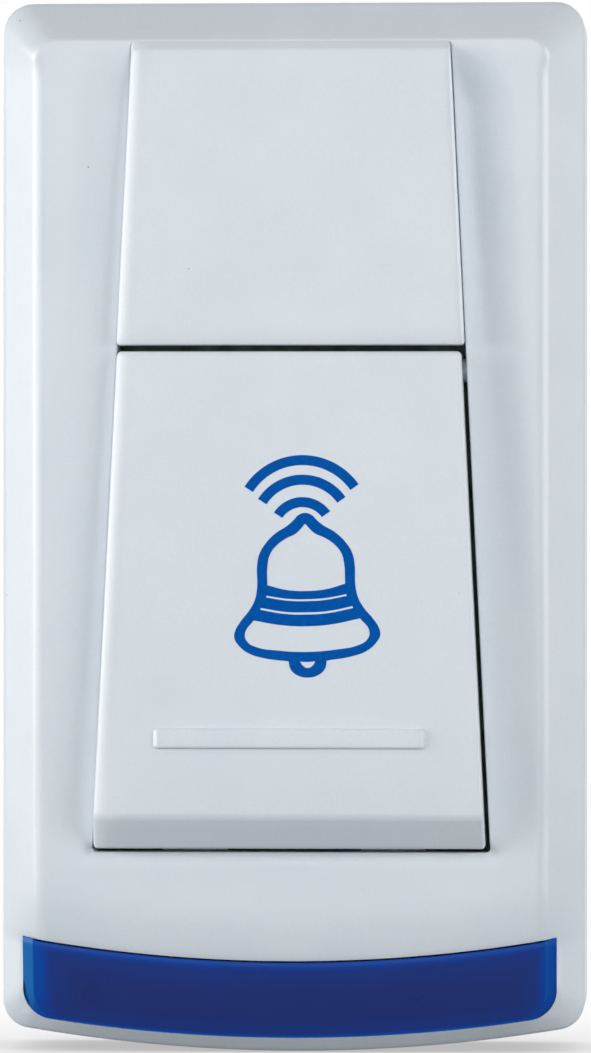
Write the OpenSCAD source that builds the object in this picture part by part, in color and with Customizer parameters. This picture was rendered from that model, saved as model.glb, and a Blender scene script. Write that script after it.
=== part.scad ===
// Wall push of a wireless doorbell, in millimetres.
// Each piece is drawn lying on its back: X to the right, Y up the wall, Z out from the wall.
// upright() stands it up, so that +Z is up, the front faces -Y and the wall is at Y = 0.

/* [Casing] */
// Width of the casing
body_w = 45; // [43.5:0.5:52]
// Height of the casing, from its top edge to the lowest point of its curved bottom edge
body_h = 81; // [80:0.5:92]
// Radius of the casing's outer corners
corner_r = 2.2; // [1.5:0.1:4]
// Radius of the curved bottom edge
bottom_arc_r = 124; // [110:1:160]
// Width of the sloping border at the sides and the bottom
bevel_w = 2.6; // [2:0.1:3]
// Width of the sloping border at the top
bevel_top_w = 3; // [2:0.1:4]
// Depth of the sloping border
bevel_d = 3.2; // [2.4:0.1:4]
// Radius of the corners where the border meets the face
face_corner_r = 1.2; // [0.6:0.1:2]
// Thickness of the side walls
wall = 1.8; // [1.4:0.1:2.2]
// Thickness of the front wall
front_wall = 1.8; // [1.4:0.1:2.2]
// Depth of the scooped channels beside the opening
chan_d = 0.9; // [0.5:0.1:1.2]
// Width of the flat lip between the opening and the channels
chan_lip = 1.3; // [1:0.1:1.6]
// Thickness of the wall under the channels
chan_wall = 1.3; // [1:0.1:1.6]

/* [Front opening] */
// Width of the opening at its top
open_top_w = 24.3; // [22:0.1:26]
// Width of the opening where the panel and the button meet
open_split_w = 27; // [26:0.1:28]
// Width of the opening at its bottom
open_bottom_w = 30.8; // [29:0.1:32]
// Flat rim between the top border and the opening
face_rim = 0.2; // [0.1:0.1:1]
// Thickness of the collar that stands behind the opening's edge
well_t = 1.3; // [1:0.1:1.6]
// Height of the collar behind the button's part of the opening
well_h = 2.4; // [2:0.1:2.8]
// Width of the ledge that the panel sits on
ledge_w = 1; // [0.8:0.1:1.3]
// Thickness of that ledge
ledge_t = 1; // [0.8:0.1:1.4]

/* [Panel and button] */
// Length of the upper panel
panel_l = 23.2; // [22.5:0.1:26]
// Length of the push button
button_l = 38.2; // [36:0.1:40]
// Height of the raised plane above the face at the top of the opening
rise_top = 0.6; // [0.4:0.1:1]
// Height of the raised plane above the face at the bottom of the opening
rise_bottom = 2.6; // [2:0.1:3.2]
// Length of the button's sloping lower lip
lip_l = 2.4; // [1.6:0.1:3]
// Height of the lip's lower edge above the face
lip_rise = 0.9; // [0.6:0.1:1.4]
// Thickness of the panel's and the button's skin
skin_t = 1.6; // [1.2:0.1:1.8]
// Thickness of their side skirts
skirt_t = 1.4; // [1.2:0.1:1.6]
// Rounding of their front edges
edge_r = 0.8; // [0.4:0.1:1]
// Rounding of their corners
post_r = 0.4; // [0.2:0.1:0.6]
// Length of the finger bar
bar_l = 20.9; // [16:0.1:22]
// Width of the finger bar
bar_w = 1.5; // [1:0.1:2.5]
// Height of the finger bar
bar_h = 0.35; // [0.2:0.05:0.6]
// Distance from the finger bar to the button's lower edge
bar_up = 8.4; // [7:0.1:10]
// Width of the panel's clip legs
leg_w = 2; // [1.6:0.1:2.2]
// Thickness of the clip legs
leg_t = 1; // [0.8:0.1:1.2]
// How far a clip leg's hook reaches under the ledge
hook_reach = 0.7; // [0.5:0.1:0.8]

/* [Hinge and switch] */
// Radius of the button's hinge pins
pin_r = 0.9; // [0.7:0.05:1]
// Distance from the button's top edge down to the hinge
hinge_inset = 1.5; // [1.3:0.1:2]
// Depth of the hinge behind the face
hinge_drop = 2.4; // [2.2:0.1:2.8]
// Distance from the hinge down to the switch
switch_arm = 10; // [9:0.5:11]
// Side of the square switch
switch_w = 6; // [5.5:0.1:6.5]
// Height of the switch's base
switch_base_h = 3.2; // [2.8:0.1:3.6]
// Thickness of the switch's cover plate
switch_plate_t = 0.3; // [0.2:0.05:0.4]
// Radius of the switch's plunger
plunger_r = 1.75; // [1.4:0.05:1.9]
// How far the plunger stands out of its cover
plunger_out = 1.5; // [1.2:0.1:1.8]
// Radius of the post that presses the plunger
pusher_r = 1.5; // [1.1:0.1:1.8]
// Width of each stop hook at the button's lower edge
stop_w = 5; // [4:0.5:6]
// Distance of the stop hooks from the middle
stop_x = 7.7; // [6:0.1:9]
// How far the stop hooks reach out
stop_reach = 1.2; // [0.9:0.1:1.4]
// Thickness of the stop hooks
stop_t = 0.8; // [0.6:0.1:1]
// Distance from the hinge down to the return spring
spring_arm = 28; // [26:0.5:30]
// Mean radius of the return spring
spring_r = 2.3; // [2.1:0.1:2.6]
// Radius of the return spring's wire
spring_wire_r = 0.25; // [0.2:0.05:0.3]
// Turns of the return spring
spring_turns = 6; // [4:1:7]

/* [Light strip] */
// Width of the light strip
strip_w = 41; // [38:0.1:41.5]
// Height of the light strip
strip_h = 5.6; // [5:0.1:6]
// Distance from the light strip to the casing's curved bottom edge
strip_up = 1.2; // [1.1:0.1:1.6]
// Radius of the light strip's lower corners
strip_corner_r = 1.8; // [1:0.1:2.2]
// Thickness of the light strip behind the face
strip_t = 3.1; // [2.6:0.1:3.4]
// How far the light strip lies below the casing's surface
strip_drop = 0.2; // [0.1:0.05:0.4]
// Thickness of the bed that the light strip lies on
bed_t = 1.2; // [1:0.1:1.4]
// Radius of the light strip's pegs
peg_r = 0.9; // [0.7:0.1:1.1]
// Distance of the pegs from the middle
peg_x = 16; // [14:0.5:17]
// Distance of the lamps from the middle
led_x = 9; // [6:0.5:11]

/* [Back cover] */
// Thickness of the back cover
cover_t = 2; // [1.6:0.1:2.6]
// Height of the cover's locating rim
rim_h = 2.2; // [2:0.1:2.4]
// Thickness of that rim
rim_t = 1.2; // [1:0.1:1.5]
// Distance between the wall screws
screw_pitch = 34; // [30:0.5:35]
// Radius of the wall screw holes
screw_hole_r = 2.1; // [1.8:0.1:2.6]
// Length of the snap beads
bead_l = 8; // [5:0.5:10]
// Distance of the snap beads above and below the middle
bead_y = 20; // [15:0.5:24]

/* [Battery] */
// Diameter of the battery
battery_d = 10.3; // [10:0.1:10.8]
// Length of the battery with its nub
battery_l = 28.5; // [27:0.1:29]
// Radius of the battery's nub
nub_r = 2; // [1.6:0.1:2.4]
// Height of the battery's nub
nub_h = 1; // [0.6:0.1:1.4]
// Thickness of the contact plates
contact_t = 0.4; // [0.3:0.05:0.5]
// Side of the square contact plates
contact_w = 9; // [8:0.1:9.4]
// Length of the battery spring when the battery is in
coil_l = 3.55; // [3:0.05:4]
// Thickness of the battery bay's walls
bay_wall = 1.2; // [1:0.1:1.4]

/* [Circuit board] */
// Thickness of the circuit board
board_t = 1.6; // [1.2:0.1:1.8]
// Distance from the face back to the board
board_drop = 7; // [6.8:0.1:7.4]
// Distance from the button's lower edge up to the lower board screws
boss_up = 3; // [2:0.5:10]
// Radius of the screw bosses
boss_r = 2.2; // [1.9:0.1:2.4]
// Radius of the board screws
board_screw_r = 1; // [0.8:0.05:1.1]
// Length of the board screws under the head
board_screw_l = 5; // [4:0.5:5.5]
// Radius of the board screws' heads
board_head_r = 1.9; // [1.6:0.1:2]
// Height of the board screws' heads
board_head_h = 1.3; // [1:0.1:1.4]

/* [Clearances] */
// Gap around the upper panel
panel_fit = 0.1; // [0.05:0.01:0.15]
// Gap between the panel and the button
split_gap = 0.45; // [0.4:0.05:0.6]
// Gap around the push button
button_gap = 0.35; // [0.3:0.05:0.4]
// Radial clearance of the hinge pins
pin_fit = 0.05; // [0.03:0.01:0.08]
// Gap between a clip or stop hook and what it catches on
hook_gap = 0.1; // [0.08:0.01:0.15]
// Free play between the button's post and the plunger
play = 0.05; // [0.03:0.01:0.1]
// Gap around the light strip
strip_fit = 0.1; // [0.05:0.01:0.15]
// Gap around pegs, plungers and screws in their holes
hole_fit = 0.06; // [0.04:0.01:0.1]
// Gap between the cover's rim and the casing
rim_fit = 0.15; // [0.1:0.01:0.2]
// Set-back of the cover's edge from the casing's sides
cover_inset = 0.25; // [0.1:0.05:0.4]
// Gap around the battery
battery_gap = 0.45; // [0.3:0.05:0.5]
// Gap between the board and the casing
board_gap = 1; // [0.8:0.1:1.3]

/* [Hidden] */

white = "#dfe4e9";
navy = "#1f2f73";
metal = "#c3c7cb";
black = "#26282b";

// A sliver by which joined pieces overlap, and the length by which cuts run past a face
eps = 0.01;
over = 1;
// Facets of rounded edges and of small round pieces, and steps along a corner and a long arc
corner_fn = 32;
round_fn = 32;
corner_steps = 8;
arc_steps = 24;

// Depths, from the wall outwards
battery_z = cover_t + battery_gap + battery_d / 2;
ledge_z = battery_z + battery_d / 2 + battery_gap;
seat_z = ledge_z + ledge_t;
face_z = seat_z + front_wall;
bevel_z = face_z - bevel_d;
well_z = seat_z - well_h;
bed_z = face_z - strip_t - bed_t;
strip_z = face_z - strip_t;
board_z = face_z - board_drop;
hinge_z = face_z - hinge_drop;
stop_z = well_z - hook_gap - stop_t;
skirt_z = well_z + skirt_t / 2;
plate_z = board_z + switch_base_h;
plunger_z = plate_z + switch_plate_t + plunger_out;

// Heights up the wall
top_y = body_h / 2;
arc_y = bottom_arc_r - body_h / 2;
face_top_y = top_y - bevel_top_w;
open_top_y = face_top_y - face_rim;
panel_top_y = open_top_y - panel_fit;
panel_low_y = panel_top_y - panel_l;
button_top_y = panel_low_y - split_gap;
button_low_y = button_top_y - button_l;
lip_y = button_low_y + lip_l;
open_low_y = button_low_y - button_gap;
split_y = panel_low_y - split_gap / 2;
hinge_y = button_top_y - hinge_inset;
switch_y = hinge_y - switch_arm;
spring_y = hinge_y - spring_arm;
can_r = 4.4;
can_flange = 0.3;
// Places of the small parts on the board's front and back
front_x = 6.75;
back_x = 13.5;
parts_y = switch_y - switch_w;
rows_y = parts_y - 2 * (can_r + can_flange) - 2 * can_flange;

// Clip legs stand clear of the ledge, and the battery bay lies between the two pairs
leg_gap = 0.3;
leg_top_y = open_top_y - ledge_w - leg_gap - leg_w / 2;
leg_low_y = panel_low_y + ledge_w + leg_gap + leg_w / 2;
bay_r = battery_d / 2 + battery_gap;
battery_y = leg_top_y - leg_w / 2 - leg_gap - bay_wall - bay_r;
bay_low_y = battery_y - bay_r - bay_wall;
bay_x = (battery_l + coil_l) / 2 + contact_t;
bay_z = battery_z - battery_d / 4;
nub_end_x = bay_x - contact_t;

// The casing's inside and the board
inner_w = body_w - 2 * wall;
board_w = inner_w - 2 * board_gap;
board_top_y = bay_low_y - board_gap;
board_back_z = board_z - board_t;
board_arc_r = bottom_arc_r - wall - board_gap;
boss_x = board_w / 2 - boss_r;
boss_low_y = button_low_y + boss_up;
boss_top_y = hinge_y - pin_r - 2 * boss_r;

// The light strip follows the casing's bottom edge
strip_low_r = bottom_arc_r - strip_up;
strip_top_r = strip_low_r - strip_h;
strip_mid_r = (strip_low_r + strip_top_r) / 2;
head_fit = 0.5;
led_w = 3.2;
led_r = strip_top_r + led_w / 2 + strip_fit;

// The collar is thinner behind the panel than behind the button
collar_step = 0.3;
face_half_w = body_w / 2 - bevel_w;
chan_edge = 0.3;
chan_tuck = 0.02;
chan_end = 4;
chan_top_y = open_top_y - chan_end;
chan_low_y = open_low_y + chan_end / 3;
slope = (rise_bottom - rise_top) / (open_top_y - open_low_y);

// Foot of the switch's plunger, the room under it, and the flat seat of the return spring
foot_r = plunger_r + 0.5;
foot_t = 0.4;
foot_room = 0.6;
spring_seat_t = 0.3;
spring_top_z = plane_z(spring_y + spring_r) - skin_t - spring_seat_t;

// Half the opening's width at a height up the wall
function half_w(y) = y > split_y
    ? lerp(open_split_w, open_top_w, (y - split_y) / (open_top_y - split_y)) / 2
    : lerp(open_bottom_w, open_split_w, (y - open_low_y) / (split_y - open_low_y)) / 2;
function lerp(a, b, t) = a + (b - a) * t;
// Half the width of a side channel between the opening's lip and the border
function chan_half_w(y) = (face_half_w - chan_edge - chan_lip - half_w(y)) / 2;
// Depth of the raised plane that the panel and the button share
function plane_z(y) = face_z + rise_top + slope * (open_top_y - y);
// Height up the wall of a point on a circle that shares the bottom edge's centre
function arc_at(r, x) = arc_y - sqrt(r * r - x * x);
// Points of an arc between two angles
function arc_points(centre, r, a0, a1, steps) = [
    for (i = [0 : steps])
        let (a = lerp(a0, a1, i / steps))
        centre + r * [cos(a), sin(a)]
];
// Points of an outline's lower corners and curved bottom edge, from left to right
function bottom_points(w, arc_r, r) =
    let (x = w / 2 - r, y = arc_at(arc_r - r, x), lean = asin(x / (arc_r - r)))
    concat(
        arc_points([-x, y], r, 180, 270 - lean, corner_steps),
        [for (i = [1 : arc_steps - 1])
            let (a = lerp(-lean, lean, i / arc_steps))
            [arc_r * sin(a), arc_y - arc_r * cos(a)]],
        arc_points([x, y], r, 270 + lean, 360, corner_steps)
    );

// Stands a piece up against the wall
module upright() {
    rotate([90, 0, 0]) children();
}

// Extrudes a flat outline between two depths
module slab(z0, z1) {
    translate([0, 0, z0]) linear_extrude(z1 - z0) children();
}

// Outline with straight sides, round corners and a curved bottom edge
module shield(w, top, arc_r, r) {
    x = w / 2 - r;
    polygon(concat(
        arc_points([x, top - r], r, 0, 90, corner_steps),
        arc_points([-x, top - r], r, 90, 180, corner_steps),
        bottom_points(w, arc_r, r)
    ));
}

// Outline of a curved band whose top edge follows the bottom edge
module band(w, top_r, arc_r, r) {
    lean = asin(w / 2 / top_r);
    polygon(concat(
        arc_points([0, arc_y], top_r, 270 + lean, 270 - lean, arc_steps),
        bottom_points(w, arc_r, r)
    ));
}

// Outline of the casing, set in from its sides, its top and its bottom
module casing_outline(side, top, r) {
    shield(body_w - 2 * side, top_y - top, bottom_arc_r - side, r);
}

// Part of the opening between two heights, grown outwards
module opening(y0, y1, grow = 0) {
    polygon([
        [-half_w(y0) - grow, y0], [half_w(y0) + grow, y0],
        [half_w(y1) + grow, y1], [-half_w(y1) - grow, y1]
    ]);
}

// Outline of the light strip, grown outwards
module strip_outline(grow = 0) {
    band(strip_w + 2 * grow, strip_top_r - grow, strip_low_r + grow, strip_corner_r);
}

// Outer form of the casing with its sloping border
module casing_form() {
    hull() {
        slab(cover_t, bevel_z) casing_outline(0, 0, corner_r);
        slab(face_z - eps, face_z) casing_outline(bevel_w, bevel_top_w, face_corner_r);
    }
}

// Hollow inside of the casing, which follows the border
module casing_hollow() {
    share = (bevel_d - front_wall) / bevel_d;
    hollow_r = corner_r / 2;
    hull() {
        slab(cover_t - over, bevel_z) casing_outline(wall, wall, hollow_r);
        slab(seat_z - eps, seat_z)
            casing_outline(wall + share * bevel_w, wall + share * bevel_top_w, hollow_r);
    }
}

// Scoop of one side channel: a slim cone with round ends
module channel(side) {
    y0 = chan_top_y;
    y1 = chan_low_y;
    h0 = chan_half_w(y0);
    h1 = chan_half_w(y1);
    r0 = (h0 * h0 + chan_d * chan_d) / (2 * chan_d);
    r1 = (h1 * h1 + chan_d * chan_d) / (2 * chan_d);
    p0 = [side * (face_half_w - chan_edge - h0), y0, face_z - chan_d + r0];
    p1 = [side * (face_half_w - chan_edge - h1), y1, face_z - chan_d + r1];
    run = p1 - p0;
    translate(p0) sphere(r0, $fn = 2 * round_fn);
    translate(p1) sphere(r1, $fn = 2 * round_fn);
    translate(p0)
        rotate([0, acos(run.z / norm(run)), atan2(run.y, run.x)])
            cylinder(norm(run), r0 - chan_tuck, r1 - chan_tuck, $fn = 2 * round_fn);
}

// Outlines of the thicker front wall behind the two channels
module channel_pads() {
    y0 = chan_top_y + chan_half_w(chan_top_y);
    y1 = chan_low_y - chan_half_w(chan_low_y);
    for (side = [0, 1]) mirror([side, 0])
        polygon([[half_w(y0), y0], [face_half_w, y0], [face_half_w, y1], [half_w(y1), y1]]);
}

// Walls and saddles that hold the battery
module battery_bay() {
    for (side = [-1, 1]) {
        translate([side * (bay_x + bay_wall / 2), battery_y, (bay_z + face_z) / 2])
            cube([bay_wall, 2 * bay_r + 2 * bay_wall, face_z - bay_z], center = true);
        translate([-bay_x + 2 * contact_t, battery_y + side * (bay_r + bay_wall / 2) - bay_wall / 2, bay_z])
            cube([2 * bay_x - 4 * contact_t, bay_wall, face_z - bay_z]);
        difference() {
            translate([side * bay_x / 2, battery_y, (battery_z + ledge_z) / 2])
                cube([bay_wall, 2 * bay_r + bay_wall, ledge_z - battery_z], center = true);
            battery_bore(battery_d / 2 + battery_gap / 2);
        }
    }
}

// Cylinder along the battery's axis
module battery_bore(r) {
    translate([-body_w / 2, battery_y, battery_z])
        rotate([0, 90, 0]) cylinder(body_w, r, r, $fn = 2 * round_fn);
}

// Puts a copy at each board screw
module at_bosses() {
    for (x = [-boss_x, boss_x], y = [boss_low_y, boss_top_y])
        translate([x, y, 0]) children();
}

// Puts a copy at each light strip peg
module at_pegs() {
    for (x = [-peg_x, peg_x])
        translate([x, arc_at(strip_mid_r, x), 0]) children();
}

// Puts a copy at each lamp
module at_leds() {
    for (x = [-led_x, led_x])
        translate([x, arc_at(led_r, x), 0]) children();
}

// Puts a copy at each snap bead, mirrored on the left side
module at_beads() {
    for (side = [0, 1], y = [-bead_y, bead_y])
        translate([0, y, 0]) mirror([side, 0, 0]) children();
}

// Front shell: sloping border, channels, opening, and the bosses and bays behind the face
module front_casing() {
    color(white) difference() {
        casing_form();
        difference() {
            casing_hollow();
            slab(well_z, face_z) opening(split_y + well_t, open_low_y - well_t, well_t);
            slab(ledge_z, face_z) opening(open_top_y + well_t, split_y, well_t - collar_step);
            slab(bed_z, face_z) band(body_w, strip_top_r - well_t, bottom_arc_r, corner_r);
            at_bosses() slab(board_z, face_z) circle(boss_r, $fn = round_fn);
            battery_bay();
            slab(face_z - chan_d - chan_wall, face_z) channel_pads();
        }
        slab(seat_z, face_z + over) opening(open_top_y, split_y);
        slab(ledge_z - eps, seat_z + over) opening(open_top_y - ledge_w, panel_low_y + ledge_w, -ledge_w);
        slab(well_z - over, face_z + over) opening(split_y, open_low_y);
        hinge_slots();
        slab(strip_z, face_z + over) strip_outline(strip_fit);
        at_pegs() slab(bed_z - over, strip_z + over) circle(peg_r + hole_fit, $fn = round_fn);
        at_leds() slab(bed_z - over, strip_z + over) circle(led_w / 2, $fn = round_fn);
        at_bosses() slab(board_z - over, board_z + board_screw_l - board_t + head_fit)
            circle(board_screw_r + hole_fit, $fn = round_fn);
        at_beads() bead(hook_gap);
        for (side = [-1, 1]) channel(side);
    }
}

// Slots in the collar, open to the back, that the button's hinge pins lie in
module hinge_slots() {
    slot_w = 2 * (pin_r + pin_fit);
    reach = half_w(hinge_y) + well_t + over;
    translate([-reach, hinge_y, hinge_z]) {
        rotate([0, 90, 0]) cylinder(2 * reach, slot_w / 2, slot_w / 2, $fn = round_fn);
        translate([0, -slot_w / 2, well_z - hinge_z - over])
            cube([2 * reach, slot_w, hinge_z - well_z + over]);
    }
}

// Snap bead of the cover's rim, or the groove for it when grown
module bead(grow = 0) {
    bead_out = 0.6;
    bead_t = 0.8;
    rim_x = inner_w / 2 - rim_fit;
    translate([rim_x - rim_t / 2, -bead_l / 2 - grow, cover_t + rim_h - bead_t - hook_gap - grow])
        cube([rim_t / 2 + bead_out + grow, bead_l + 2 * grow, bead_t + 2 * grow]);
}

// Wall plate with its locating rim, snap beads, screw holes and recesses for adhesive pads
module back_cover() {
    inset = wall + rim_fit;
    rim_r = corner_r / 2;
    pad = [26, 9];
    pad_d = 0.4;
    pad_y = 29;
    notch = [6, 1.2];
    color(white) difference() {
        union() {
            slab(0, cover_t) casing_outline(cover_inset, cover_inset, corner_r);
            slab(cover_t - eps, cover_t + rim_h) difference() {
                casing_outline(inset, inset, rim_r);
                casing_outline(inset + rim_t, inset + rim_t, rim_r);
            }
            at_beads() bead();
        }
        for (y = [-screw_pitch / 2, screw_pitch / 2])
            translate([0, y, -over])
                cylinder(cover_t + 2 * over, screw_hole_r, screw_hole_r, $fn = 2 * round_fn);
        for (y = [-pad_y, pad_y])
            translate([0, y, 0]) cube([pad.x, pad.y, 2 * pad_d], center = true);
        translate([-notch.x / 2, -top_y - over, cover_t / 2]) cube([notch.x, notch.y + over, cover_t]);
    }
}

// Corner rounding of the raised pieces: a sphere under the front edges, a post down the side
module soft_corner(y, edge_y, z_low, z_top, inset) {
    for (side = [-1, 1]) {
        translate([side * (half_w(y) - inset - edge_r), y + edge_y * edge_r, z_top - edge_r])
            sphere(edge_r, $fn = corner_fn);
        translate([side * (half_w(y) - inset - post_r), y + edge_y * post_r, z_low])
            cylinder(z_top - edge_r - z_low, post_r, post_r, $fn = corner_fn);
    }
}

// Inside of a raised piece: its outline within the skirts, under a profile of depths
module raised_hollow(y0, y1, inset, profile) {
    intersection() {
        slab(0, 2 * face_z) opening(y0, y1, -inset - skirt_t);
        rotate([90, 0, 90]) linear_extrude(body_w, center = true) polygon(profile);
    }
}

// Fixed panel in the upper part of the opening, clipped over the ledge
module upper_panel() {
    low = seat_z;
    y0 = panel_top_y - skirt_t;
    y1 = panel_low_y + skirt_t;
    color(white) {
        difference() {
            hull() {
                soft_corner(panel_top_y, -1, low, plane_z(panel_top_y), panel_fit);
                soft_corner(panel_low_y, 1, low, plane_z(panel_low_y), panel_fit);
            }
            raised_hollow(y0, y1, panel_fit, [
                [y0, low - over], [y1, low - over], [y1, plane_z(y1) - skin_t], [y0, plane_z(y0) - skin_t]
            ]);
        }
        for (side = [0, 1], y = [leg_low_y, leg_top_y])
            mirror([side, 0, 0]) clip_leg(half_w(y + leg_w / 2) - ledge_w - 2 * panel_fit, y);
    }
}

// Clip leg of the panel, whose hook catches under the ledge
module clip_leg(x, y) {
    hook_top = ledge_z - hook_gap;
    translate([x - leg_t, y - leg_w / 2, hook_top - leg_t]) {
        cube([leg_t, leg_w, plane_z(y) - skin_t / 2 - hook_top + leg_t]);
        cube([leg_t + hook_reach, leg_w, leg_t]);
    }
}

// Rocking button: skin and skirts, finger bar, hinge pins, pressing post, spring post and stop hooks
module push_button() {
    y0 = button_top_y - skirt_t;
    y1 = button_low_y + skirt_t;
    lip_z = face_z + lip_rise;
    color(white) {
        difference() {
            hull() {
                soft_corner(button_top_y, -1, skirt_z, plane_z(button_top_y), button_gap);
                soft_corner(lip_y, 0, lip_z - edge_r, plane_z(lip_y), button_gap);
                soft_corner(button_low_y, 1, skirt_z, lip_z, button_gap);
            }
            raised_hollow(y0, y1, button_gap, [
                [y0, skirt_z - over], [y1, skirt_z - over], [y1, lip_z - skin_t],
                [lip_y, plane_z(lip_y) - skin_t], [y0, plane_z(y0) - skin_t]
            ]);
        }
        finger_bar();
        hinge_pins();
        translate([0, switch_y, plunger_z + play + pusher_r]) {
            sphere(pusher_r, $fn = round_fn);
            cylinder(plane_z(switch_y) - skin_t / 2 - plunger_z - play - pusher_r, pusher_r, pusher_r,
                $fn = round_fn);
        }
        spring_post();
        for (x = [-stop_x, stop_x]) translate([x, 0, 0]) stop_hook();
    }
}

// Low rib across the button for the finger
module finger_bar() {
    y = button_low_y + bar_up;
    translate([0, y, plane_z(y)]) rotate([-atan(slope), 0, 0]) translate([0, 0, -skin_t / 2]) {
        linear_extrude(skin_t / 2 + bar_h) {
            square([bar_l - bar_w, bar_w], center = true);
            for (x = [-1, 1] * (bar_l - bar_w) / 2) translate([x, 0]) circle(bar_w / 2, $fn = round_fn);
        }
    }
}

// Hinge pins that stand out of the button's side skirts
module hinge_pins() {
    x0 = half_w(hinge_y) - button_gap - skirt_t / 2;
    x1 = half_w(hinge_y) + well_t;
    for (side = [0, 1]) mirror([side, 0, 0])
        translate([x0, hinge_y, hinge_z]) rotate([0, 90, 0])
            cylinder(x1 - x0, pin_r, pin_r, $fn = round_fn);
}

// Flat seat and centring post for the return spring
module spring_post() {
    post = spring_r - spring_wire_r - 2 * hook_gap;
    post_l = 2;
    translate([0, spring_y, spring_top_z]) cylinder(
        plane_z(spring_y) - skin_t / 2 - spring_top_z, spring_r + 2 * spring_wire_r,
        spring_r + 2 * spring_wire_r, $fn = round_fn
    );
    translate([0, spring_y, spring_top_z - post_l])
        cylinder(post_l + eps, post, post, $fn = round_fn);
}

// Hook at the button's lower edge that stops under the collar
module stop_hook() {
    translate([-stop_w / 2, button_low_y, stop_z])
        cube([stop_w, skirt_t, skirt_z - stop_z + skirt_t]);
    translate([-stop_w / 2, button_low_y - stop_reach, stop_z])
        cube([stop_w, stop_reach + skirt_t, stop_t]);
}

// Light guide that follows the casing's form, staked to its bed by two pegs
module light_strip() {
    color(navy) {
        intersection() {
            translate([0, 0, -strip_drop]) casing_form();
            slab(strip_z, face_z) strip_outline();
        }
        at_pegs() slab(bed_z, strip_z + eps) circle(peg_r, $fn = round_fn);
        at_pegs() slab(bed_z - head_fit, bed_z) circle(peg_r + head_fit, $fn = round_fn);
    }
}

// Board with its screw holes, whose lower edge follows the casing
module circuit_board() {
    board_corner_r = 1;
    color("#2e7d4f") slab(board_back_z, board_z) difference() {
        shield(board_w, board_top_y, board_arc_r, board_corner_r);
        at_bosses() circle(board_screw_r + hole_fit, $fn = round_fn);
    }
}

// Screws that hold the board on its bosses
module board_screws() {
    drive_l = 2.3;
    drive_w = 0.5;
    color(metal) at_bosses() difference() {
        union() {
            slab(board_back_z - board_head_h, board_back_z) circle(board_head_r, $fn = round_fn);
            slab(board_back_z - eps, board_back_z + board_screw_l) circle(board_screw_r, $fn = round_fn);
        }
        for (turn = [0, 90]) translate([0, 0, board_back_z - board_head_h]) rotate([0, 0, turn])
            cube([drive_l, drive_w, board_head_h], center = true);
    }
}

// Moulded base of the switch with a well for the plunger's foot
module switch_base() {
    color(black) translate([0, switch_y, 0]) difference() {
        slab(board_z, plate_z) square(switch_w, center = true);
        slab(plate_z - foot_t - foot_room, plate_z + over) circle(foot_r + 2 * hole_fit, $fn = round_fn);
    }
}

// Metal plate that closes the switch, with two side clips
module switch_cover() {
    clip_w = switch_w / 2;
    color(metal) translate([0, switch_y, 0]) {
        slab(plate_z, plate_z + switch_plate_t) difference() {
            square([switch_w + 2 * switch_plate_t, switch_w], center = true);
            circle(plunger_r + hole_fit, $fn = round_fn);
        }
        for (side = [0, 1]) mirror([side, 0, 0])
            translate([switch_w / 2, -clip_w / 2, board_z + switch_base_h / 2])
                cube([switch_plate_t, clip_w, switch_base_h / 2 + eps]);
    }
}

// Moving plunger of the switch, with a foot under the cover plate
module switch_plunger() {
    color("#3a3d42") translate([0, switch_y, 0]) {
        slab(plate_z - hole_fit - foot_t, plate_z - hole_fit) circle(foot_r, $fn = round_fn);
        slab(plate_z - hole_fit - eps, plunger_z) circle(plunger_r, $fn = round_fn);
    }
}

// Round wire wound along Z from a start radius to an end radius, with straight leads at its ends
module coil(start_r, end_r, length, turns, wire_r, lead = 0) {
    sides = 6;
    rings = 8 * turns;
    first = lead > 0 ? -1 : 0;
    last = lead > 0 ? rings + 1 : rings;
    tip = (last - first) * sides;
    points = [
        for (i = [first : last], k = [0 : sides - 1])
            let (t = min(max(i, 0), rings) / rings, out = i < 0 ? -lead : i > rings ? lead : 0,
                a = 360 * turns * t, s = 360 * k / sides, r = lerp(start_r, end_r, t) + wire_r * cos(s))
            [
                r * cos(a) - out * sin(a), r * sin(a) + out * cos(a),
                lerp(wire_r, length - wire_r, t) + wire_r * sin(s)
            ]
    ];
    skin = [
        for (i = [0 : last - first - 1], k = [0 : sides - 1])
            let (m = (k + 1) % sides, a = i * sides + k, b = i * sides + m, c = a + sides, d = b + sides)
            each [[a, c, b], [b, c, d]]
    ];
    ends = [for (k = [1 : sides - 2]) each [[0, k, k + 1], [tip, tip + k + 1, tip + k]]];
    polyhedron(points, concat(skin, ends), convexity = 10);
}

// Spring between the board and the button's spring seat
module return_spring() {
    color(metal) translate([0, spring_y, board_z])
        coil(spring_r, spring_r, spring_top_z - board_z, spring_turns, spring_wire_r);
}

// Cylindrical cell lying across the casing, with its nub to the right
module battery() {
    color("#b9a24a") translate([nub_end_x, battery_y, battery_z]) rotate([0, -90, 0]) {
        cylinder(nub_h + eps, nub_r, nub_r, $fn = 2 * round_fn);
        translate([0, 0, nub_h])
            cylinder(battery_l - nub_h, battery_d / 2, battery_d / 2, $fn = 2 * round_fn);
    }
}

// Conical spring that presses on the battery's flat end
module battery_spring() {
    wire_r = 0.3;
    turns = 3;
    coil_inset = 1;
    color(metal) translate([contact_t - bay_x, battery_y, battery_z]) rotate([0, 90, 0])
        coil(contact_w / 2 - coil_inset, nub_r, coil_l, turns, wire_r);
}

// Contact plate against a wall of the battery bay, with a tail that runs to the board
module contact_plate(side) {
    tail_w = 1.8;
    color(metal) translate([side > 0 ? bay_x - contact_t : -bay_x, 0, 0]) {
        translate([0, battery_y - contact_w / 2, battery_z - contact_w / 2])
            cube([contact_t, contact_w, contact_w]);
        translate([0, board_top_y - board_gap, board_back_z - tail_w])
            cube([contact_t, battery_y - board_top_y + board_gap, tail_w]);
    }
}

// Plate that carries the battery spring
module negative_contact() {
    contact_plate(-1);
}

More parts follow.
